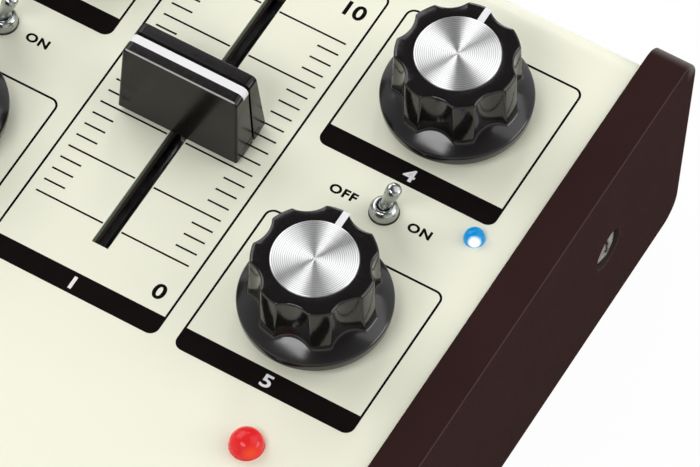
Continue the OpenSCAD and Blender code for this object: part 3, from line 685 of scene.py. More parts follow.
# Lit lamps: colour, hot spot from the panel, colours of the spot and about it, strength, where the spot ends
RED_LAMP = ("red", (1.82, -1.70, 1.5), "red_hot", "red_glow", 1.0, (0.25, 1.625))
BLUE_LAMP = ("blue", (0.66, -1.15, 0.9), "blue_hot", "blue_glow", 1.1, (0.63, 1.17))
SPECIAL = {
    # Painted shade on the walls of the slot
    "panel_enamel": (slot_finish, ENAMEL, "cut_edge", 2.0, 27.0, PANEL_Z - 0.12),
    # Painted highlight on the cheeks' edges and in their recesses, and a painted sheen on their top corners
    "cheek_moulding": (edge_finish, "brown", "worn_brown", "rubbed_brown"),
    "knob_phenolic": (skirt_finish, "black", 0.10, 0.17, PANEL_Z + 5.3),
    # Painted glint along the cap's front top edge
    "cap_moulding": (ridge_finish, "black", "rubbed_black", (0.06, 0.18)),
    "spun_aluminium": (spun_finish, "aluminium"),
    "red_epoxy_left": (lamp_finish, "left_red_lamp", *RED_LAMP),
    "red_epoxy_right": (lamp_finish, "right_red_lamp", *RED_LAMP),
    "blue_epoxy": (lamp_finish, "blue_lamp_lens", *BLUE_LAMP),
}


def finished(key):
    """A finish by name, made when it is first asked for."""
    build, *values = SPECIAL[key] if key in SPECIAL else (finish, *PLAIN[key])
    return bpy.data.materials.get(key) or build(key, *values)


class PEDAL_OT_case(bpy.types.Operator):
    """Gives the folded case smooth bends and its enamel, and the tray its plating"""

    bl_idname = "pedal.case"
    bl_label = "Case"

    def execute(self, context):
        for name, node, enamel in (("panel_enamelled", "top_panel", "panel_enamel"),
                                   ("walls_enamelled", "case_walls", "cream_enamel")):
            mesh = frame["nodes"][node].data.copy()
            settle(name, mesh, enamel, "cream_paint", [node], sharp=24, weighted=True)
        wear(frame["nodes"]["base_tray"].data, "zinc_plate")
        return {"FINISHED"}


def cross_screw(head_r, head_h, shank_r, shank, cross_w=0.9, cross_l=3.7, depth=1.1):
    """A screw that points down from its head: the head's top is a low dome, less the depth of a cross whose
    arms end and narrow softly, on a polar grid; below it the profile is turned."""
    soft, rim, crown, narrowing, shallowing = 0.16, 0.45, 0.5, 0.45, 0.35
    radii = np.linspace(0, head_r - rim, 30)[:, None]
    u, v = radii * np.cos(ROUND), radii * np.sin(ROUND)

    def arm(along, across):
        taper = 1 - narrowing * np.abs(along) / (cross_l / 2)
        return (smooth_step((cross_w / 2 * taper + soft - np.abs(across)) / (2 * soft))
                * smooth_step((cross_l / 2 + soft - np.abs(along)) / (2 * soft)))

    dome = head_h - crown * (radii / head_r) ** 2
    top = dome - depth * np.maximum(arm(u, v), arm(v, u)) * (1 - shallowing * radii / head_r)
    drop = 0.25
    side = rounded([(head_r - rim, dome[-1, 0]), (head_r, dome[-1, 0] - drop), (head_r, 0), (shank_r, 0),
                    (shank_r, -shank), (0, -shank)], [0, drop, 0, 0, 0, 0])
    return lathe([*zip(radii[:, 0], top), *side[1:]])


class PEDAL_OT_cheeks(bpy.types.Operator):
    """Makes the two end cheeks with rounded edges and recesses, and their cross-head screws"""

    bl_idname = "pedal.cheeks"
    bl_label = "End cheeks"

    recess_r = 3.5
    recess_depth = 2.6
    bore_r = 2.15
    top_r, packed_top_r = 4.2, 3.0
    bottom_r, back_edge = 4.5, 0.12
    # Radius and height of the head, radius and length of the shank
    screw = (3.25, 2.3, 2.0, 9.4)

    @classmethod
    def screw_place(cls):
        """Y and Z of a cheek's rear screw."""
        low, high = box_mm("cheek_screws")
        return high[1] - cls.screw[0], (low[2] + high[2]) / 2

    def execute(self, context):
        edge, lip = size("cheek_edge"), size("recess_lip")
        wall = box_mm("case_walls")[1][1]
        (inner, _, low), (outer, reach, high) = box_mm("right_cheek")
        # The cheek's reach is measured past its rounded corner, so the sharp corner lies a little outside it
        corner = self.corner_reach(wall, low, reach, high)
        lean = [(-wall, low), (wall, low), (corner, high), (-corner, high)]
        radii = [self.bottom_r, self.bottom_r, self.top_r, self.top_r]
        thick = outer - inner
        screw_y, screw_z = self.screw_place()
        holes = [np.array([sy * screw_y, screw_z]) for sy in (-1, 1)]
        inset, below = quarter(edge, 6)
        rings = [outline(lean, radii, i) for i in (self.back_edge, 0.0, *inset)]
        heights = (0.0, self.back_edge, *(thick - below))
        shell = grid(np.stack([lifted(ring, height) for ring, height in zip(rings, heights)]))
        back = flat_face(rings[0], [(h, self.bore_r) for h in holes], 0.0)
        front = flat_face(rings[-1], [(h, self.recess_r + lip) for h in holes], thick)
        floor = thick - self.recess_depth
        below, past = quarter(lip, 6)
        well = lathe([*zip(self.recess_r + past, thick - below), (self.recess_r, floor), (self.bore_r, floor),
                      (self.bore_r, 0.0)])
        cheek = joined([shell, back, front] + [moved(well, (*h, 0)) for h in holes])
        for side, sx in (("left", -1), ("right", 1)):
            axes = [[0, 1, 0], [0, 0, 1], [sx, 0, 0]]
            make(f"cheek_moulded_{side}", [moved(cheek, (sx * inner, 0, 0), axes)], "cheek_moulding",
                 "cheek_brown", [f"{side}_cheek"], sharp=34, flat=(1, 0, 0))
        head = cross_screw(*self.screw)
        seat = inner + floor
        heads = [moved(head, (sx * seat, *h), axes)
                 for sx, axes in ((1, ALONG_X), (-1, ALONG_BACK_X)) for h in holes]
        make("cheek_screws_plated", heads, "screw_plate", "bright_steel", ["cheek_screws"], sharp=32)
        return {"FINISHED"}

    def corner_reach(self, wall, low, reach, high):
        """The sharp top corner's Y, so that the rounded corner just meets the cheek's own box."""
        sharp = reach
        for _ in range(8):
            ring = outline([(-wall, low), (wall, low), (sharp, high), (-sharp, high)],
                           [self.bottom_r, self.bottom_r, self.packed_top_r, self.packed_top_r], steps=48)
            sharp += reach - ring[:, 0].max()
        return sharp


def lettering(text, at, low, high, height, wide, weight, spacing=1.0):
    """Generic characters as a thin solid: the font's outline is made a mesh, scaled and placed."""
    curve = bpy.data.curves.new("lettering", "FONT")
    curve.body = text
    curve.align_x, curve.align_y = "CENTER", "CENTER"
    curve.size = 1.0
    curve.extrude = 0.5
    curve.offset = weight
    curve.space_character = spacing
    curve.resolution_u = 5
    holder = bpy.data.objects.new("lettering", curve)
    mesh = bpy.data.meshes.new_from_object(holder)
    points = read(mesh.vertices, "co", 3)
    corners = read(mesh.loops, "vertex_index", kind=int)
    first, count = (read(mesh.polygons, key, kind=int) for key in ("loop_start", "loop_total"))
    blocks = [corners[first[count == n][:, None] + np.arange(n)] for n in np.unique(count)]
    bpy.data.meshes.remove(mesh)
    bpy.data.objects.remove(holder)
    bpy.data.curves.remove(curve)
    points -= (points.max(0) + points.min(0)) / 2
    scale = height / np.ptp(points[:, 1])
    return points * [scale * wide, scale, high - low] + [at[0], at[1], (low + high) / 2], blocks


class PEDAL_OT_print(bpy.types.Operator):
    """Prints the boxes, bars, scale and plain numbers on the panel, a little above the enamel"""

    bl_idname = "pedal.print"
    bl_label = "Panel print"

    # Front and rear of the boxes, from the middle of the slider's slot
    column_x, box_half = 33.0, 15.0
    middle_box, side_boxes = (-35.25, 33.2), ((5.63, 33.23), (-35.22, -7.66))
    # The lines lie a little lower than the bars that cover them
    line_step = 0.004
    tick_pitch, tick_count = 2.25, 10
    # Every fourth tick is a long one that reaches the slot
    tick_outer, tick_inner, long_inner, long_every = 13.15, 9.55, 1.6, 4
    # Characters: text and place, from the middle of the slot or of a column, and then their style
    scale_ends = (("10", 11.4, 28.3), ("0", 11.7, -28.3))
    words = (("OFF", -6.85, -0.1), ("ON", 6.15, -0.2))
    number_style = {"height": 2.2, "wide": 1.3, "weight": 0.022}
    scale_style = {"height": 2.7, "wide": 1.15, "weight": 0.028}
    word_style = {"height": 1.6, "wide": 1.15, "weight": 0.04, "spacing": 1.15}

    def boxes(self):
        """Left, front, right and rear of each printed box."""
        columns = [sx * self.column_x for sx in (-1, 1)]
        places = [(0.0, self.middle_box)] + [(x, ends) for x in columns for ends in self.side_boxes]
        return [(x - self.box_half, SLOT_Y + front, x + self.box_half, SLOT_Y + rear)
                for x, (front, rear) in places]

    def execute(self, context):
        low, high = PANEL_Z, PANEL_Z + size("ink_height")
        top = high + size("ink_height")
        line, tick = size("box_line"), size("tick_line")
        bar_h, corner = size("bar_height"), size("box_corner") - line / 2
        ink, white = [], []
        for number, (x0, y0, x1, y1) in enumerate(self.boxes(), 1):
            left, front, right, rear = x0 + line / 2, y0 + line / 2, x1 - line / 2, y1 - line / 2
            path = outline(rectangle(left, front, right, rear), [corner] * 4)
            ink.append(frame_line(path, line, low, high - self.line_step))
            ink.append(slab(rectangle(left, front, right, y0 + bar_h), [corner] * 2 + [0, 0], low, high))
            at = ((x0 + x1) / 2, y0 + bar_h / 2)
            white.append(lettering(str(number), at, high, top, **self.number_style))
        for step in range(-self.tick_count, self.tick_count + 1):
            inner = self.long_inner if (step - 2) % self.long_every == 0 else self.tick_inner
            y = SLOT_Y + step * self.tick_pitch
            for sx in (-1, 1):
                left, right = sorted([sx * inner, sx * self.tick_outer])
                ink.append(loft([rectangle(left, y - tick / 2, right, y + tick / 2)] * 2, [low, high]))
        for mark, x, y in self.scale_ends:
            ink.append(lettering(mark, (x, SLOT_Y + y), low, high, **self.scale_style))
        for sx in (-1, 1):
            for word, x, y in self.words:
                at = (sx * self.column_x + x, SLOT_Y + y)
                ink.append(lettering(word, at, low, high, **self.word_style))
        make("print_black", ink, "black_ink", sharp=20)
        make("print_white", white, "white_ink", "line_white", sharp=20)
        return {"FINISHED"}


class PEDAL_OT_knobs(bpy.types.Operator):
    """Makes the four fluted knobs, their spun discs and their pointer lines"""

    bl_idname = "pedal.knobs"
    bl_label = "Knobs"

    skirt_w, taper, foot_h = 1.9, 0.3, 5.2
    skirt_slope, skirt_bow, skirt_inset = 0.81, 0.036, 0.2
    bore_r, roof, hub_h, cavity_wall = 3.05, 1.0, 5.0, 1.5
    seat_gap = 0.05
    pointer_w, pointer_gap = 1.1, 0.22
    meet_w = math.radians(1.5)
    # Where the skirt has rows, from its rim to the body
    skirt_rows = (0, 0.3, 0.5, 0.7, 1)

    def measure(self):
        """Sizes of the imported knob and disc, from the panel up."""
        low, high = (corner - on_panel("right_rear_knob") for corner in box_mm("right_rear_knob"))
        disc_low, disc_high = (corner - on_panel("right_rear_disc") for corner in box_mm("right_rear_disc"))
        self.skirt_r, self.gap, self.height = high[0], low[2], high[2]
        self.foot_r = self.skirt_r - self.skirt_w
        self.top_r = self.foot_r - self.taper
        self.cavity_r = self.foot_r - self.cavity_wall
        self.flute_away = self.top_r - size("flute_depth") + size("flute_radius")
        self.disc_r, self.seat_h, self.disc_top = disc_high[0], disc_low[2], disc_high[2]
        self.seat_r = self.disc_r + self.seat_gap
        self.bore_top = self.seat_h - self.roof

    def flute_angles(self):
        """Angles round the knob: few across a crest and a flute, many where they meet."""
        pitch = 2 * np.pi / plain("flutes")
        near, far = self.meets(self.top_r) - self.meet_w, self.meets(self.foot_r) + self.meet_w
        reach = np.concatenate([np.linspace(0, near, 9)[:-1], np.linspace(near, far, 17)[:-1],
                                np.linspace(far, pitch / 2, 5)])
        one = np.concatenate([-reach[:0:-1], reach[:-1]])
        first = np.pi / 2 + plain("flute_turn") + pitch / 2
        centres = first + pitch * np.arange(plain("flutes"))
        return (centres[:, None] + one).ravel(), np.tile(one, len(centres))

    def meets(self, radius):
        """Angle from a flute's middle at which its circle crosses a circle about the knob's axis."""
        flute, far = size("flute_radius"), self.flute_away
        return math.acos((far ** 2 + radius ** 2 - flute ** 2) / (2 * far * radius))

    def skirt_rise(self, radius):
        """Height of the skirt above its rim: a parabola of the distance in from it, flatter further in."""
        within = self.skirt_r - radius
        return self.skirt_slope * within - self.skirt_bow * within ** 2

    def knob(self):
        """A profile for each angle, from the bore's top round the skirt to the seat of the disc: the body's
        radius is the smaller of the plain cone's and that of the flute, which is the near side of a circle
        whose middle lies outside the knob."""
        angles, delta = self.flute_angles()
        far = self.flute_away
        root = size("flute_radius") ** 2 - (far * np.sin(delta)) ** 2
        flute = np.where(root > 0, far * np.cos(delta) - np.sqrt(np.maximum(root, 0)), 2 * far)
        foot = soft_min(np.full_like(flute, self.foot_r), flute, size("flute_soft"))
        top = soft_min(np.full_like(flute, self.top_r), flute, size("flute_soft"))
        rim = self.foot_h - self.skirt_rise(self.foot_r)
        skirt = [self.skirt_r + (foot - self.skirt_r) * part for part in self.skirt_rows]
        each = [(0, self.bore_top), (self.bore_r, self.bore_top), (self.bore_r, self.hub_h),
                (self.cavity_r, self.hub_h), (self.cavity_r, self.gap),
                (self.skirt_r - self.skirt_inset, self.gap)]
        each += [(r, rim + self.skirt_rise(r)) for r in skirt]
        each += [(top, self.height), (self.seat_r, self.height), (self.seat_r, self.seat_h), (0, self.seat_h)]
        corners = np.stack([np.stack(np.broadcast_arrays(r, z, delta)[:2], -1) for r, z in each], 1)
        skirt_foot, skirt_rim, body_foot, seat_lip = 0.15, 0.36, 0.4, 0.08
        reaches = [0, 0, 0, 0, 0, skirt_foot, skirt_rim, 0, 0, 0, body_foot, size("knob_edge"), seat_lip,
                   0, 0]
        profile = rounded(corners, reaches, 6)
        radius, height = profile[..., 0], profile[..., 1]
        points = np.stack([radius * np.cos(angles)[:, None], radius * np.sin(angles)[:, None], height], -1)
        return grid(points.transpose(1, 0, 2))

    def disc(self):
        """A turned disc: its top falls and rises by the depth of the rings, once in each pitch."""
        edge, fall, soft, rows_each = 0.2, 0.02, 0.15, 8
        radii = np.arange(0, self.disc_r - edge, size("ring_pitch") / rows_each)
        wave = size("ring_depth") * (0.5 - 0.5 * np.cos(2 * np.pi * radii / size("ring_pitch")))
        side = rounded([(self.disc_r - edge, self.disc_top), (self.disc_r, self.disc_top - fall),
                        (self.disc_r, self.seat_h), (0, self.seat_h)], [0, soft, 0, 0])
        return lathe([*zip(radii, self.disc_top - wave), *side], FINE_ROUND)

    def turned_map(self, piece, at):
        """Adds a map to a disc: across it the angle, and along it the radius over the disc's own."""
        mesh = piece.data
        x, y, _ = (read(mesh.vertices, "co", 3) / MM - at)[read(mesh.loops, "vertex_index", kind=int)].T
        uv = np.column_stack([np.abs(np.arctan2(y, x)) / np.pi, np.hypot(x, y) / self.disc_r])
        mesh.uv_layers.new(name="turned").uv.foreach_set("vector", uv.astype(np.float32).ravel())

    def execute(self, context):
        self.measure()
        knob, disc = self.knob(), self.disc()
        half, start, end = self.pointer_w / 2, self.seat_r + 0.02, self.top_r - self.pointer_gap
        corner_r, sunk, proud, edge = 0.1, 0.3, 0.03, 0.02
        line = slab(rectangle(-half, start, half, end), [corner_r] * 4, self.height - sunk,
                    self.height + proud, edge)
        for corner in CORNERS:
            at = on_panel(f"{corner}_knob")
            body = body_of(f"{corner}_knob")
            make(f"knob_fluted_{corner}", [moved(knob, at)], "knob_phenolic", "knob_black",
                 [f"{corner}_knob"], body)
            piece = make(f"disc_spun_{corner}", [moved(disc, at)], "spun_aluminium", "disc_aluminium",
                         [f"{corner}_disc"], body, sharp=50)
            self.turned_map(piece, at)
            make(f"pointer_line_{corner}", [moved(line, at)], "white_fill", "line_white",
                 [f"{corner}_pointer"], body, sharp=32)
        return {"FINISHED"}


class PEDAL_OT_slider(bpy.types.Operator):
    """Makes the slider's cap with its groove, and the white line on it"""

    bl_idname = "pedal.slider"
    bl_label = "Slider"

    taper, half_w_top, foot_corner = 0.5, 2.85, 0.3
    groove_w, groove_depth, groove_lip, line_proud = 0.45, 0.5, 0.12, 0.02
    channel, channel_top, end_wall = 2.3, 2.0, 0.9
    line_wrap, line_t, line_short = 1.25, 0.2, 0.05

    def measure(self, at):
        """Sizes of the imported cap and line, from the panel up."""
        low, high = (corner - at for corner in box_mm("slider_cap"))
        self.half_len, self.half_w, self.low, self.high = high[0], high[1], low[2], high[2] - self.line_proud
        self.half_len_top = self.half_len - self.taper
        self.line = tuple((corner - at)[1] for corner in box_mm("slider_line"))
        self.groove = (self.line[1], self.line[1] + self.groove_w)

    def execute(self, context):
        at = on_panel("slider_cap")
        self.measure(at)
        edge, corner, lip = size("cap_edge"), size("cap_corner"), self.groove_lip
        # Rows along the depth: place, inset from the end's outline, and foot
        bend = [(self.half_w - back, inset, self.low) for back, inset in zip(*quarter(edge))]
        wall = [(self.channel, 0.0, self.low), (self.channel, 0.0, self.channel_top)]
        shoulder = [(lip, 0.0), (lip / 3, lip / 3), (0.0, lip), (0.0, self.groove_depth)]
        rows = [(-y, inset, foot) for y, inset, foot in bend + wall]
        rows += [(self.groove[0] - out, inset, self.channel_top) for out, inset in shoulder]
        rows += [(self.groove[1] + out, inset, self.channel_top) for out, inset in shoulder[::-1]]
        rows += wall[::-1] + bend[::-1]
        radii = [self.foot_corner, self.foot_corner, corner, corner]
        sections = [outline(self.end_shape(foot), radii, inset) for _, inset, foot in rows]
        flat, blocks = loft(sections, [y for y, *_ in rows])
        x, z, y = flat.T
        cap = np.column_stack([x, self.slanted(y, z), z]), blocks
        make("cap_moulded", [moved(part, at) for part in [cap] + self.end_walls()], "cap_moulding",
             "knob_black", ["slider_cap"], "slider", sharp=34, weighted=True)
        make("cap_line", [moved(self.white_line(corner), at)], "white_fill", "line_white", ["slider_line"],
             "slider")
        return {"FINISHED"}

    def end_shape(self, foot):
        """The cap seen from the front, from a given foot up to its top."""
        half = self.half_at(foot)
        return [(-half, foot), (half, foot), (self.half_len_top, self.high), (-self.half_len_top, self.high)]

    def half_at(self, z):
        """Half of the cap's length at a height: it shrinks evenly towards the top."""
        return self.half_len - self.taper * (z - self.low) / (self.high - self.low)

    def end_walls(self):
        """Walls that close the channel's ends: slanted blocks in front of the groove and behind it."""
        lap = 0.1
        top = self.channel_top + lap
        low_x, top_x = self.half_at(self.low), self.half_at(top)
        face = np.array([(low_x - self.end_wall, self.low), (low_x, self.low), (top_x, top),
                         (top_x - self.end_wall, top)])
        reaches = ((-self.channel - lap, self.groove[0]), (self.groove[1], self.channel + lap))
        return [capped(np.stack([upright(face * [sx, 1], y) for y in reach]))
                for sx in (-1, 1) for reach in reaches]

    def slanted(self, y, z):
        """Draws the front and rear in towards the top: each side shrinks towards its edge of the groove."""
        lean = (z - self.low) / (self.high - self.low) * (self.half_w - self.half_w_top)
        front, rear = self.groove
        ahead = front - (front - y) * (front + self.half_w - lean) / (front + self.half_w)
        behind = rear + (y - rear) * (self.half_w - lean - rear) / (self.half_w - rear)
        return np.where(y <= front, ahead, np.where(y >= rear, behind, y))

    def white_line(self, corner):
        """A thin band over the cap's top that follows its rounded corners a little way down both ends."""
        shape = self.end_shape(self.high - self.line_wrap)
        outer, inner = (self.over_top(outline(shape, [0, 0, corner, corner], inset))
                        for inset in (-self.line_proud, self.line_t))
        y0, y1 = self.line[0], self.line[1] - self.line_short
        loops = [(outer, y0), (outer, y1), (inner, y1), (inner, y0)]
        return capped(np.stack([upright(path, y) for path, y in loops], 1))

    def over_top(self, ring):
        """The open part of an outline that runs up the right end, over the top and down the left end."""
        left_foot, right_foot, right_top, left_top = ring.reshape(4, -1, 2)
        return np.concatenate([right_foot[-1:], right_top, left_top, left_foot[:1]])


class PEDAL_OT_toggles(bpy.types.Operator):
    """Makes the toggle switches' collars and necks, and their levers"""

    bl_idname = "pedal.toggles"
    bl_label = "Toggle switches"

    collar_r, collar_h, neck_r, neck_h, bore_r, mouth_r = 2.2, 1.2, 1.65, 0.9, 1.3, 1.15
    bore_low = -0.6
    housing, housing_corner, housing_edge = (8.0, 6.6), 0.4, 0.2
    housing_top, housing_low = -1.5, -11.5
    pivot_h, lean = 1.6, 16.0
    # The lever from its foot to its tip: radius, height from the pivot and rounding
    lever = ((0, -1.6, 0), (0.58, -1.6, 0.1), (0.58, -0.9, 0.1), (1.05, -0.3, 0.3), (1.0, 0.4, 0.25),
             (0.84, 0.9, 0.2), (0.88, 2.4, 0.7), (1.2, 5.0, 0.7), (1.2, 6.85, 1.0), (0, 6.85, 0))

    def execute(self, context):
        top, step = self.collar_h + self.neck_h, 0.25
        collar = turned([(0, self.bore_low, 0), (self.bore_r, self.bore_low, 0),
                         (self.bore_r, top - 0.5, 0.1), (self.mouth_r, top, 0.1),
                         (self.neck_r - 0.1, top, 0.3), (self.collar_r, self.collar_h + step, 0.6),
                         (self.collar_r, step, 0.08),
                         (self.collar_r - step, 0.1, 0), (self.collar_r - step, self.housing_top, 0),
                         (0, self.housing_top, 0)], 6)
        w, d = self.housing
        block = slab(rectangle(-w / 2, -d / 2, w / 2, d / 2), [self.housing_corner] * 4, self.housing_low,
                     self.housing_top, self.housing_edge)
        lever = turned(self.lever, 8)
        a = math.radians(self.lean)
        axes = [[math.cos(a), 0, -math.sin(a)], [0, 1, 0], [math.sin(a), 0, math.cos(a)]]
        for side in SIDES:
            at = on_panel(f"{side}_toggle_switch")
            make(f"toggle_collar_{side}", [moved(collar, at), moved(block, at)], "nickel_plate",
                 "bright_chrome", [f"{side}_toggle_switch"])
            make(f"toggle_lever_{side}", [moved(lever, at + [0, 0, self.pivot_h], axes)], "nickel_plate",
                 "bright_chrome", [f"{side}_toggle_lever"], body_of(f"{side}_toggle_lever"))
        return {"FINISHED"}


def nut(flats, bore, low, high):
    """A hexagon nut: its radius is half of the flats over the cosine of the angle from the nearest flat.
    Beyond the circle that fits its flats, both faces fall away at thirty degrees."""
    six = flats / 2 / np.cos((FINE_ROUND + np.pi / 6) % (np.pi / 3) - np.pi / 6)
    drop = (six - flats / 2) * math.tan(math.radians(30))
    soft = 0.15
    return lathe([(bore, low + soft), (bore + soft, low), (flats / 2, low), (six, low + drop),
                  (six, high - drop), (flats / 2, high), (bore + soft, high), (bore, high - soft)],
                 FINE_ROUND, ring=True)


def washer(outer, inner, low, high, edge):
    """A flat ring with rounded outer edges."""
    return turned([(inner, low, 0), (outer, low, edge), (outer, high, edge), (inner, high, 0)], ring=True)


class PEDAL_OT_foot_switches(bpy.types.Operator):
    """Makes the foot switches: threaded bush, washer, nuts and button"""

    bl_idname = "pedal.foot_switches"
    bl_label = "Foot switches"

    bush_r, bush_h, bush_floor, bore_r, bore_low = 6.0, 6.0, 0.5, 4.05, -10.2
    housing, housing_top, housing_low = 17.0, -3.5, -21.5
    lug, lug_pitch, lug_foot = (2.0, 0.8, 0.1), 5.0, -25.5
    washer_r, washer_t, nut_af, nut_t, lock_t = 9.0, 1.0, 14.0, 2.5, 2.0
    stem_r, stem_foot, button_r, button_low, button_top = 4.0, -8.0, 5.0, 8.2, 13.0

    def execute(self, context):
        top, low, foot = self.housing_top, self.housing_low, self.bore_low - self.bush_floor
        chamfer, soft, clear = 0.3, 0.4, self.bush_r + 0.05
        rows = [(0, foot), (self.bush_r, foot)] + thread_rows(self.bush_r, top, self.bush_h - chamfer)
        rows += [(self.bush_r - 0.55, self.bush_h), (self.bore_r + chamfer, self.bush_h),
                 (self.bore_r, self.bush_h - chamfer), (self.bore_r, self.bore_low), (0, self.bore_low)]
        bush = lathe(rows)
        angles = oblong_angles(self.housing, self.housing)
        rim = oblong(self.housing, self.housing, angles)
        block = lathe([(0, low), (rim - soft, low), (rim, low + soft), (rim, top - soft), (rim - soft, top),
                       (self.bush_r, top), (self.bush_r, foot), (0, foot)], angles)
        places = (-self.lug_pitch, 0, self.lug_pitch)
        w, d, edge = self.lug
        lug = slab(rectangle(-w / 2, -d / 2, w / 2, d / 2), [edge] * 4, self.lug_foot, low, edge)
        lugs = [moved(lug, (x, y, 0)) for x in places for y in places]
        plunger = turned([(0, self.stem_foot, 0), (self.stem_r, self.stem_foot, 0.2),
                          (self.stem_r, self.button_low, 0.2), (self.button_r, self.button_low, 0.25),
                          (self.button_r, self.button_top - 0.35, 1.3), (0, self.button_top, 0)], 8)
        ring = washer(self.washer_r, clear, 0, self.washer_t, 0.25)
        nuts = [nut(self.nut_af, clear, self.washer_t, self.washer_t + self.nut_t),
                nut(self.nut_af, clear, top, top + self.lock_t)]
        washers, all_nuts = [], []
        for side in SIDES:
            at = on_panel(f"{side}_foot_switch")
            make(f"foot_bush_{side}", [moved(bush, at)], "chrome_plate", "bright_chrome")
            make(f"foot_housing_{side}", [moved(part, at) for part in [block] + lugs], "switch_moulding",
                 "switch_blue", [f"{side}_foot_switch"], sharp=34, weighted=True)
            make(f"foot_button_{side}", [moved(plunger, at)], "chrome_plate", "bright_chrome",
                 [f"{side}_plunger"], body_of(f"{side}_plunger"))
            washers.append(moved(ring, at))
            all_nuts += [moved(part, at) for part in nuts]
        make("foot_washers_plated", washers, "chrome_plate", "bright_chrome", ["foot_switch_washers"])
        make("foot_nuts_plated", all_nuts, "chrome_plate", "bright_chrome", ["foot_switch_nuts"], sharp=25,
             weighted=True)
        return {"FINISHED"}


class PEDAL_OT_lamps(bpy.types.Operator):
    """Makes the lit red lamps and the lit blue lamp"""

    bl_idname = "pedal.lamps"
    bl_label = "Lamps"

    # Piece, finish, slot, node, and how far its dome is lowered
    lamps = (("lamp_red_left", "red_epoxy_left", "lamp_red", "left_red_lamp", 0.6),
             ("lamp_red_right", "red_epoxy_right", "lamp_red", "right_red_lamp", 0.6),
             ("lamp_blue", "blue_epoxy", "lamp_blue", "blue_lamp_lens", 0.4))
    flange, flange_h, fullness, squash = 0.4, 1.0, 0.09, 0.92

    def lens(self, node, lower):
        """A domed lens: a flange, a straight wall and half an ellipse a little wider than the wall."""
        low, high = (corner - on_panel(node) for corner in box_mm(node))
        r, foot, top = high[0] - self.flange, low[2], high[2] - lower
        bulb = r + self.fullness
        dome = np.radians(np.linspace(0, 90, 19))
        wall = rounded([(0, foot), (r + self.flange, foot), (r + self.flange, foot + self.flange_h),
                        (r, foot + self.flange_h)], [0, 0.1, 0.15, 0])
        return lathe([*wall, *zip(bulb * np.cos(dome), top - self.squash * bulb * (1 - np.sin(dome)))])

    def execute(self, context):
        for name, glow, slot, node, lower in self.lamps:
            make(name, [moved(self.lens(node, lower), on_panel(node))], glow, slot, [node])
        return {"FINISHED"}


class PEDAL_OT_sockets(bpy.types.Operator):
    """Makes the rear sockets: threaded noses with their nuts, and the power socket with its pin"""

    bl_idname = "pedal.sockets"
    bl_label = "Rear sockets"

    nose_r, nose_len, bore_r = 4.5, 3.2, 3.2
    housing, depth, wall = (16.0, 12.8), 21.0, 1.5
    nut_af, nut_t = 12.0, 2.0
    power, power_depth, power_r, power_bore, pin_r = (9.0, 11.0), 14.5, 3.1, 9.5, 1.0

    def execute(self, context):
        wall_y = box_mm("case_walls")[1][1]
        front, back = -self.wall, -self.wall - self.depth
        soft, lead, floor_t, clear = 0.3, 0.35, 1.0, 0.05
        angles = oblong_angles(*self.housing)
        rim = oblong(*self.housing, angles)
        rows = [(0, back), (rim - soft, back), (rim, back + soft), (rim, front - soft), (rim - soft, front),
                (self.nose_r, front)]
        rows += thread_rows(self.nose_r, front, self.nose_len - soft, angles)
        rows += [(self.nose_r - 0.5, self.nose_len), (self.bore_r + lead, self.nose_len),
                 (self.bore_r, self.nose_len - lead), (self.bore_r, back + floor_t), (0, back + floor_t)]
        socket = lathe(rows, angles)
        ring = nut(self.nut_af, self.nose_r + clear, 0, self.nut_t)
        nuts = []
        for node in ("input_socket", "output_socket"):
            x, _, z = middle(node)
            at = (x, wall_y, z)
            make(f"{node}_moulded", [moved(socket, at, ALONG_Y)], "black_nylon", "socket_black", [node],
                 sharp=34)
            nuts.append(moved(ring, at, ALONG_Y))
        make("socket_nuts_plated", nuts, "chrome_plate", "bright_chrome", ["socket_nuts"], sharp=25,
             weighted=True)
        x, _, z = middle("power_socket")
        at = (x, wall_y, z)
        angles = oblong_angles(*self.power)
        rim = oblong(*self.power, angles)
        bore = -self.power_bore
        case = lathe([(0, bore), (self.power_r, bore), (self.power_r, -soft), (self.power_r + soft, 0),
                      (rim - lead, 0), (rim, -lead), (rim, -self.power_depth), (0, -self.power_depth)],
                     angles)
        pin = turned([(0, bore - 0.5, 0), (self.pin_r, bore - 0.5, 0), (self.pin_r, -1.0, 0.6),
                      (0, -1.0, 0)], 6)
        make("power_socket_moulded", [moved(case, at, ALONG_Y)], "black_nylon", "socket_black",
             ["power_socket"], sharp=34)
        make("power_pin", [moved(pin, at, ALONG_Y)], "plated_steel", "bright_steel")
        return {"FINISHED"}


class PEDAL_OT_underside(bpy.types.Operator):
    """Makes the rubber feet and the screws that hold the tray"""

    bl_idname = "pedal.underside"
    bl_label = "Underside"

    foot_r, foot_h, taper, rim, dish = 7.0, 3.0, 1.0, 2.4, 0.6
    # Radius and height of the head, radius and length of the shank, width, length and depth of the cross
    screw = (2.8, 2.0, 1.5, 6.2, 0.8, 3.2, 1.0)

    def execute(self, context):
        inner = self.foot_r - self.rim
        foot = turned([(0, self.dish, 0), (inner - self.dish, self.dish, 0.2), (inner, 0, 0.2),
                       (self.foot_r - self.taper, 0, 0.5), (self.foot_r, self.foot_h, 0.1),
                       (0, self.foot_h, 0)], 5)
        x, y, _ = box_mm("rubber_feet")[1] - self.foot_r
        make("feet_moulded", at_corners(foot, x, y), "black_rubber", "foot_rubber", ["rubber_feet"])
        low, high = box_mm("base_screws")
        x, y, _ = high - self.screw[0]
        screws = at_corners(cross_screw(*self.screw), x, y, low[2] + self.screw[1], DOWN)
        make("base_screws_plated", screws, "zinc_plate", "zinc_steel", ["base_screws"])
        return {"FINISHED"}


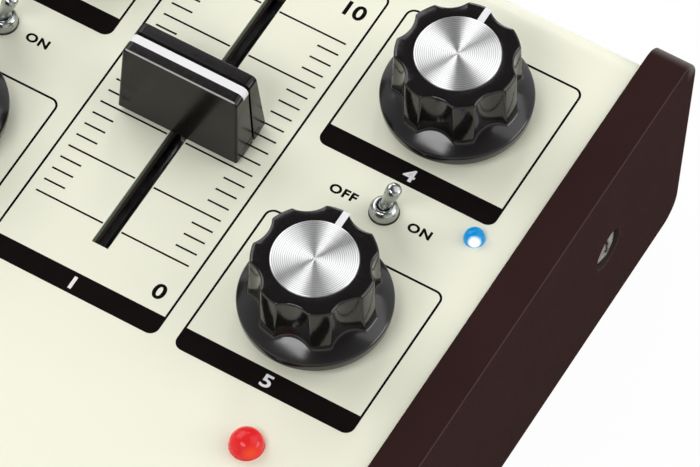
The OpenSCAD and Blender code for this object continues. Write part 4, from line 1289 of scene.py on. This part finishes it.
class PEDAL_OT_inside(bpy.types.Operator):
    """Gives the pieces inside the case their finishes"""

    bl_idname = "pedal.inside"
    bl_label = "Inside"

    finishes = {
        "zinc_plate": ["cheek_nuts", "base_nuts", "board_screws", "slider_track"],
        "solder_mask": ["main_board"],
        "turned_brass": ["board_pillars"],
        "black_fibre": ["dust_strip"],
        "plated_steel": ["slider_lever", "pot_washers", "pot_nuts"] + [f"{c}_pot" for c in CORNERS],
        "turned_shaft": [f"{c}_shaft" for c in CORNERS],
        "white_nylon": ["lamp_spacers"],
        "chip_epoxy": ["chips"],
        "sleeve_film": ["capacitors"],
    }

    def execute(self, context):
        for key, nodes in self.finishes.items():
            for node in nodes:
                wear(frame["nodes"][node].data, key)
        return {"FINISHED"}


class PEDAL_OT_stage(bpy.types.Operator):
    """Sets the floor, the lamps, the surrounding light and the camera"""

    bl_idname = "pedal.stage"
    bl_label = "Stage"

    # Lamps one metre away: name, azimuth from +X, elevation, width and height in metres, watts
    lamps = [
        ("lamp_front", 262, 54, 0.56, 0.28, 3.9),
        ("lamp_left", 158, 43, 0.85, 0.60, 4.3),
        ("lamp_rear", 107, 33, 0.20, 0.36, 1.4),
        ("lamp_right", 36, 45, 0.80, 0.80, 2.9),
        ("lamp_right_low", 20, 12, 0.50, 0.30, 2.3),
    ]
    target = (0.010, 0.022, 0.040)
    # Left, front, right and rear of the floor, and its height just under the feet, in metres
    floor_sides, floor_z = (-30, -30, 30, 30), -0.00005
    # Camera: sensor's width in millimetres, reach of its view in metres, place in millimetres, and two axes
    sensor, clip = 36.0, (0.01, 100.0)
    camera_at = (301.07, -429.68, 882.62)
    camera_right = (0.8602, 0.5099, -0.0059)
    camera_up = (-0.43068, 0.73269, 0.52628)
    # Surrounding light: sine of the elevation and brightness
    sky = [(0.0, 1.0), (0.06, 1.0), (0.3, 0.7), (0.6, 0.38), (0.78, 0.1), (1.0, 0.06)]

    def execute(self, context):
        settings = context.scene.pedal_stage
        self.floor(settings)
        self.light(settings)
        self.surround(context)
        camera = bpy.data.cameras.new("camera")
        camera.lens = settings.lens / MM
        camera.sensor_width = self.sensor
        camera.clip_start, camera.clip_end = self.clip
        holder = bpy.data.objects.new("camera", camera)
        context.scene.collection.objects.link(holder)
        right, up = Vector(self.camera_right).normalized(), Vector(self.camera_up).normalized()
        back = right.cross(up).normalized()
        up = back.cross(right)
        turned = Matrix((right, up, back)).transposed().to_4x4()
        holder.matrix_world = Matrix.Translation(Vector(self.camera_at) * MM) @ turned
        context.scene.camera = holder
        context.scene.view_settings.view_transform = "Standard"
        return {"FINISHED"}

    def floor(self, settings):
        """A wide pale floor that shows as plain white and keeps a faint shadow."""
        mesh = bpy.data.meshes.new("floor")
        mesh.from_pydata(lifted(rectangle(*self.floor_sides), self.floor_z), [], [(0, 1, 2, 3)])
        made, tree, shader = blank("floor_white")
        fill(shader, {"Base Color": (0.9, 0.9, 0.9), "Roughness": 0.9, "Specular IOR Level": 0.0})
        path = add(tree, "LightPath", "Is Camera Ray").node.outputs
        either = reckon(tree, "MAXIMUM", path["Is Camera Ray"], path["Is Glossy Ray"])
        all_three = reckon(tree, "MAXIMUM", either, path["Is Transmission Ray"])
        amount = reckon(tree, "MULTIPLY", all_three, settings.floor_glow)
        glow = add(tree, "Emission", "Emission")
        shown = add(tree, "MixShader", "Shader", amount, shader.outputs["BSDF"], glow)
        put(tree.nodes["Material Output"].inputs["Surface"], shown)
        mesh.materials.append(made)
        floor = bpy.data.objects.new("floor", mesh)
        bpy.context.scene.collection.objects.link(floor)

    def light(self, settings):
        """Flat lamps round the pedal, each turned towards it."""
        target = Vector(self.target)
        for name, azimuth, elevation, width, height, watts in self.lamps:
            a, e = math.radians(azimuth), math.radians(elevation)
            towards = Vector((math.cos(a) * math.cos(e), math.sin(a) * math.cos(e), math.sin(e)))
            lamp = bpy.data.lights.new(name, "AREA")
            lamp.shape = "RECTANGLE"
            lamp.size, lamp.size_y = width, height
            lamp.energy = watts * settings.lamp_level
            holder = bpy.data.objects.new(name, lamp)
            holder.location = target + towards
            holder.rotation_mode = "QUATERNION"
            holder.rotation_quaternion = (-towards).to_track_quat("-Z", "Y")
            holder.visible_camera = False
            bpy.context.scene.collection.objects.link(holder)

    def surround(self, context):
        """Light from all round: pale at the horizon, dark overhead."""
        world = bpy.data.worlds.new("surround")
        world.use_nodes = True
        tree = world.node_tree
        height = parted(tree, add(tree, "TexCoord", "Generated"))["Z"]
        shade = add(tree, "ValToRGB", "Color", height)
        stops = shade.node.color_ramp.elements
        while len(stops) < len(self.sky):
            stops.new(0.5)
        for stop, (at, value) in zip(stops, self.sky):
            stop.position = at
            stop.color = (value, value, value, 1)
        put(tree.nodes["Background"].inputs["Color"], shade)
        context.scene.world = world


OPERATORS = (PEDAL_OT_case, PEDAL_OT_cheeks, PEDAL_OT_print, PEDAL_OT_knobs, PEDAL_OT_slider,
             PEDAL_OT_toggles, PEDAL_OT_foot_switches, PEDAL_OT_lamps, PEDAL_OT_sockets,
             PEDAL_OT_underside, PEDAL_OT_inside, PEDAL_OT_stage)
GROUPS = (PedalSizes, PedalColours, PedalStage)


class PEDAL_PT_tools(bpy.types.Panel):
    """Lists the pedal's sizes, colours and operators"""

    bl_label = "Delay Pedal"
    bl_space_type = "VIEW_3D"
    bl_region_type = "UI"
    bl_category = "Pedal"

    def draw(self, context):
        for group in (context.scene.pedal_sizes, context.scene.pedal_colours, context.scene.pedal_stage):
            column = self.layout.column()
            for key in group.__annotations__:
                column.prop(group, key)
        for operator in OPERATORS:
            self.layout.operator(operator.bl_idname)


CLASSES = GROUPS + OPERATORS + (PEDAL_PT_tools,)


def register():
    """Adds the classes, and the three groups of properties to the scene."""
    for each in CLASSES:
        bpy.utils.register_class(each)
    bpy.types.Scene.pedal_sizes = PointerProperty(type=PedalSizes)
    bpy.types.Scene.pedal_colours = PointerProperty(type=PedalColours)
    bpy.types.Scene.pedal_stage = PointerProperty(type=PedalStage)


def unregister():
    """Takes the properties and the classes away again."""
    del bpy.types.Scene.pedal_stage
    del bpy.types.Scene.pedal_colours
    del bpy.types.Scene.pedal_sizes
    for each in reversed(CLASSES):
        bpy.utils.unregister_class(each)


def main():
    """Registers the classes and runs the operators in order."""
    register()
    for step in ("case", "cheeks", "print", "knobs", "slider", "toggles", "foot_switches", "lamps", "sockets",
                 "underside", "inside", "stage"):
        getattr(bpy.ops.pedal, step)()


if __name__ == "__main__":
    main()
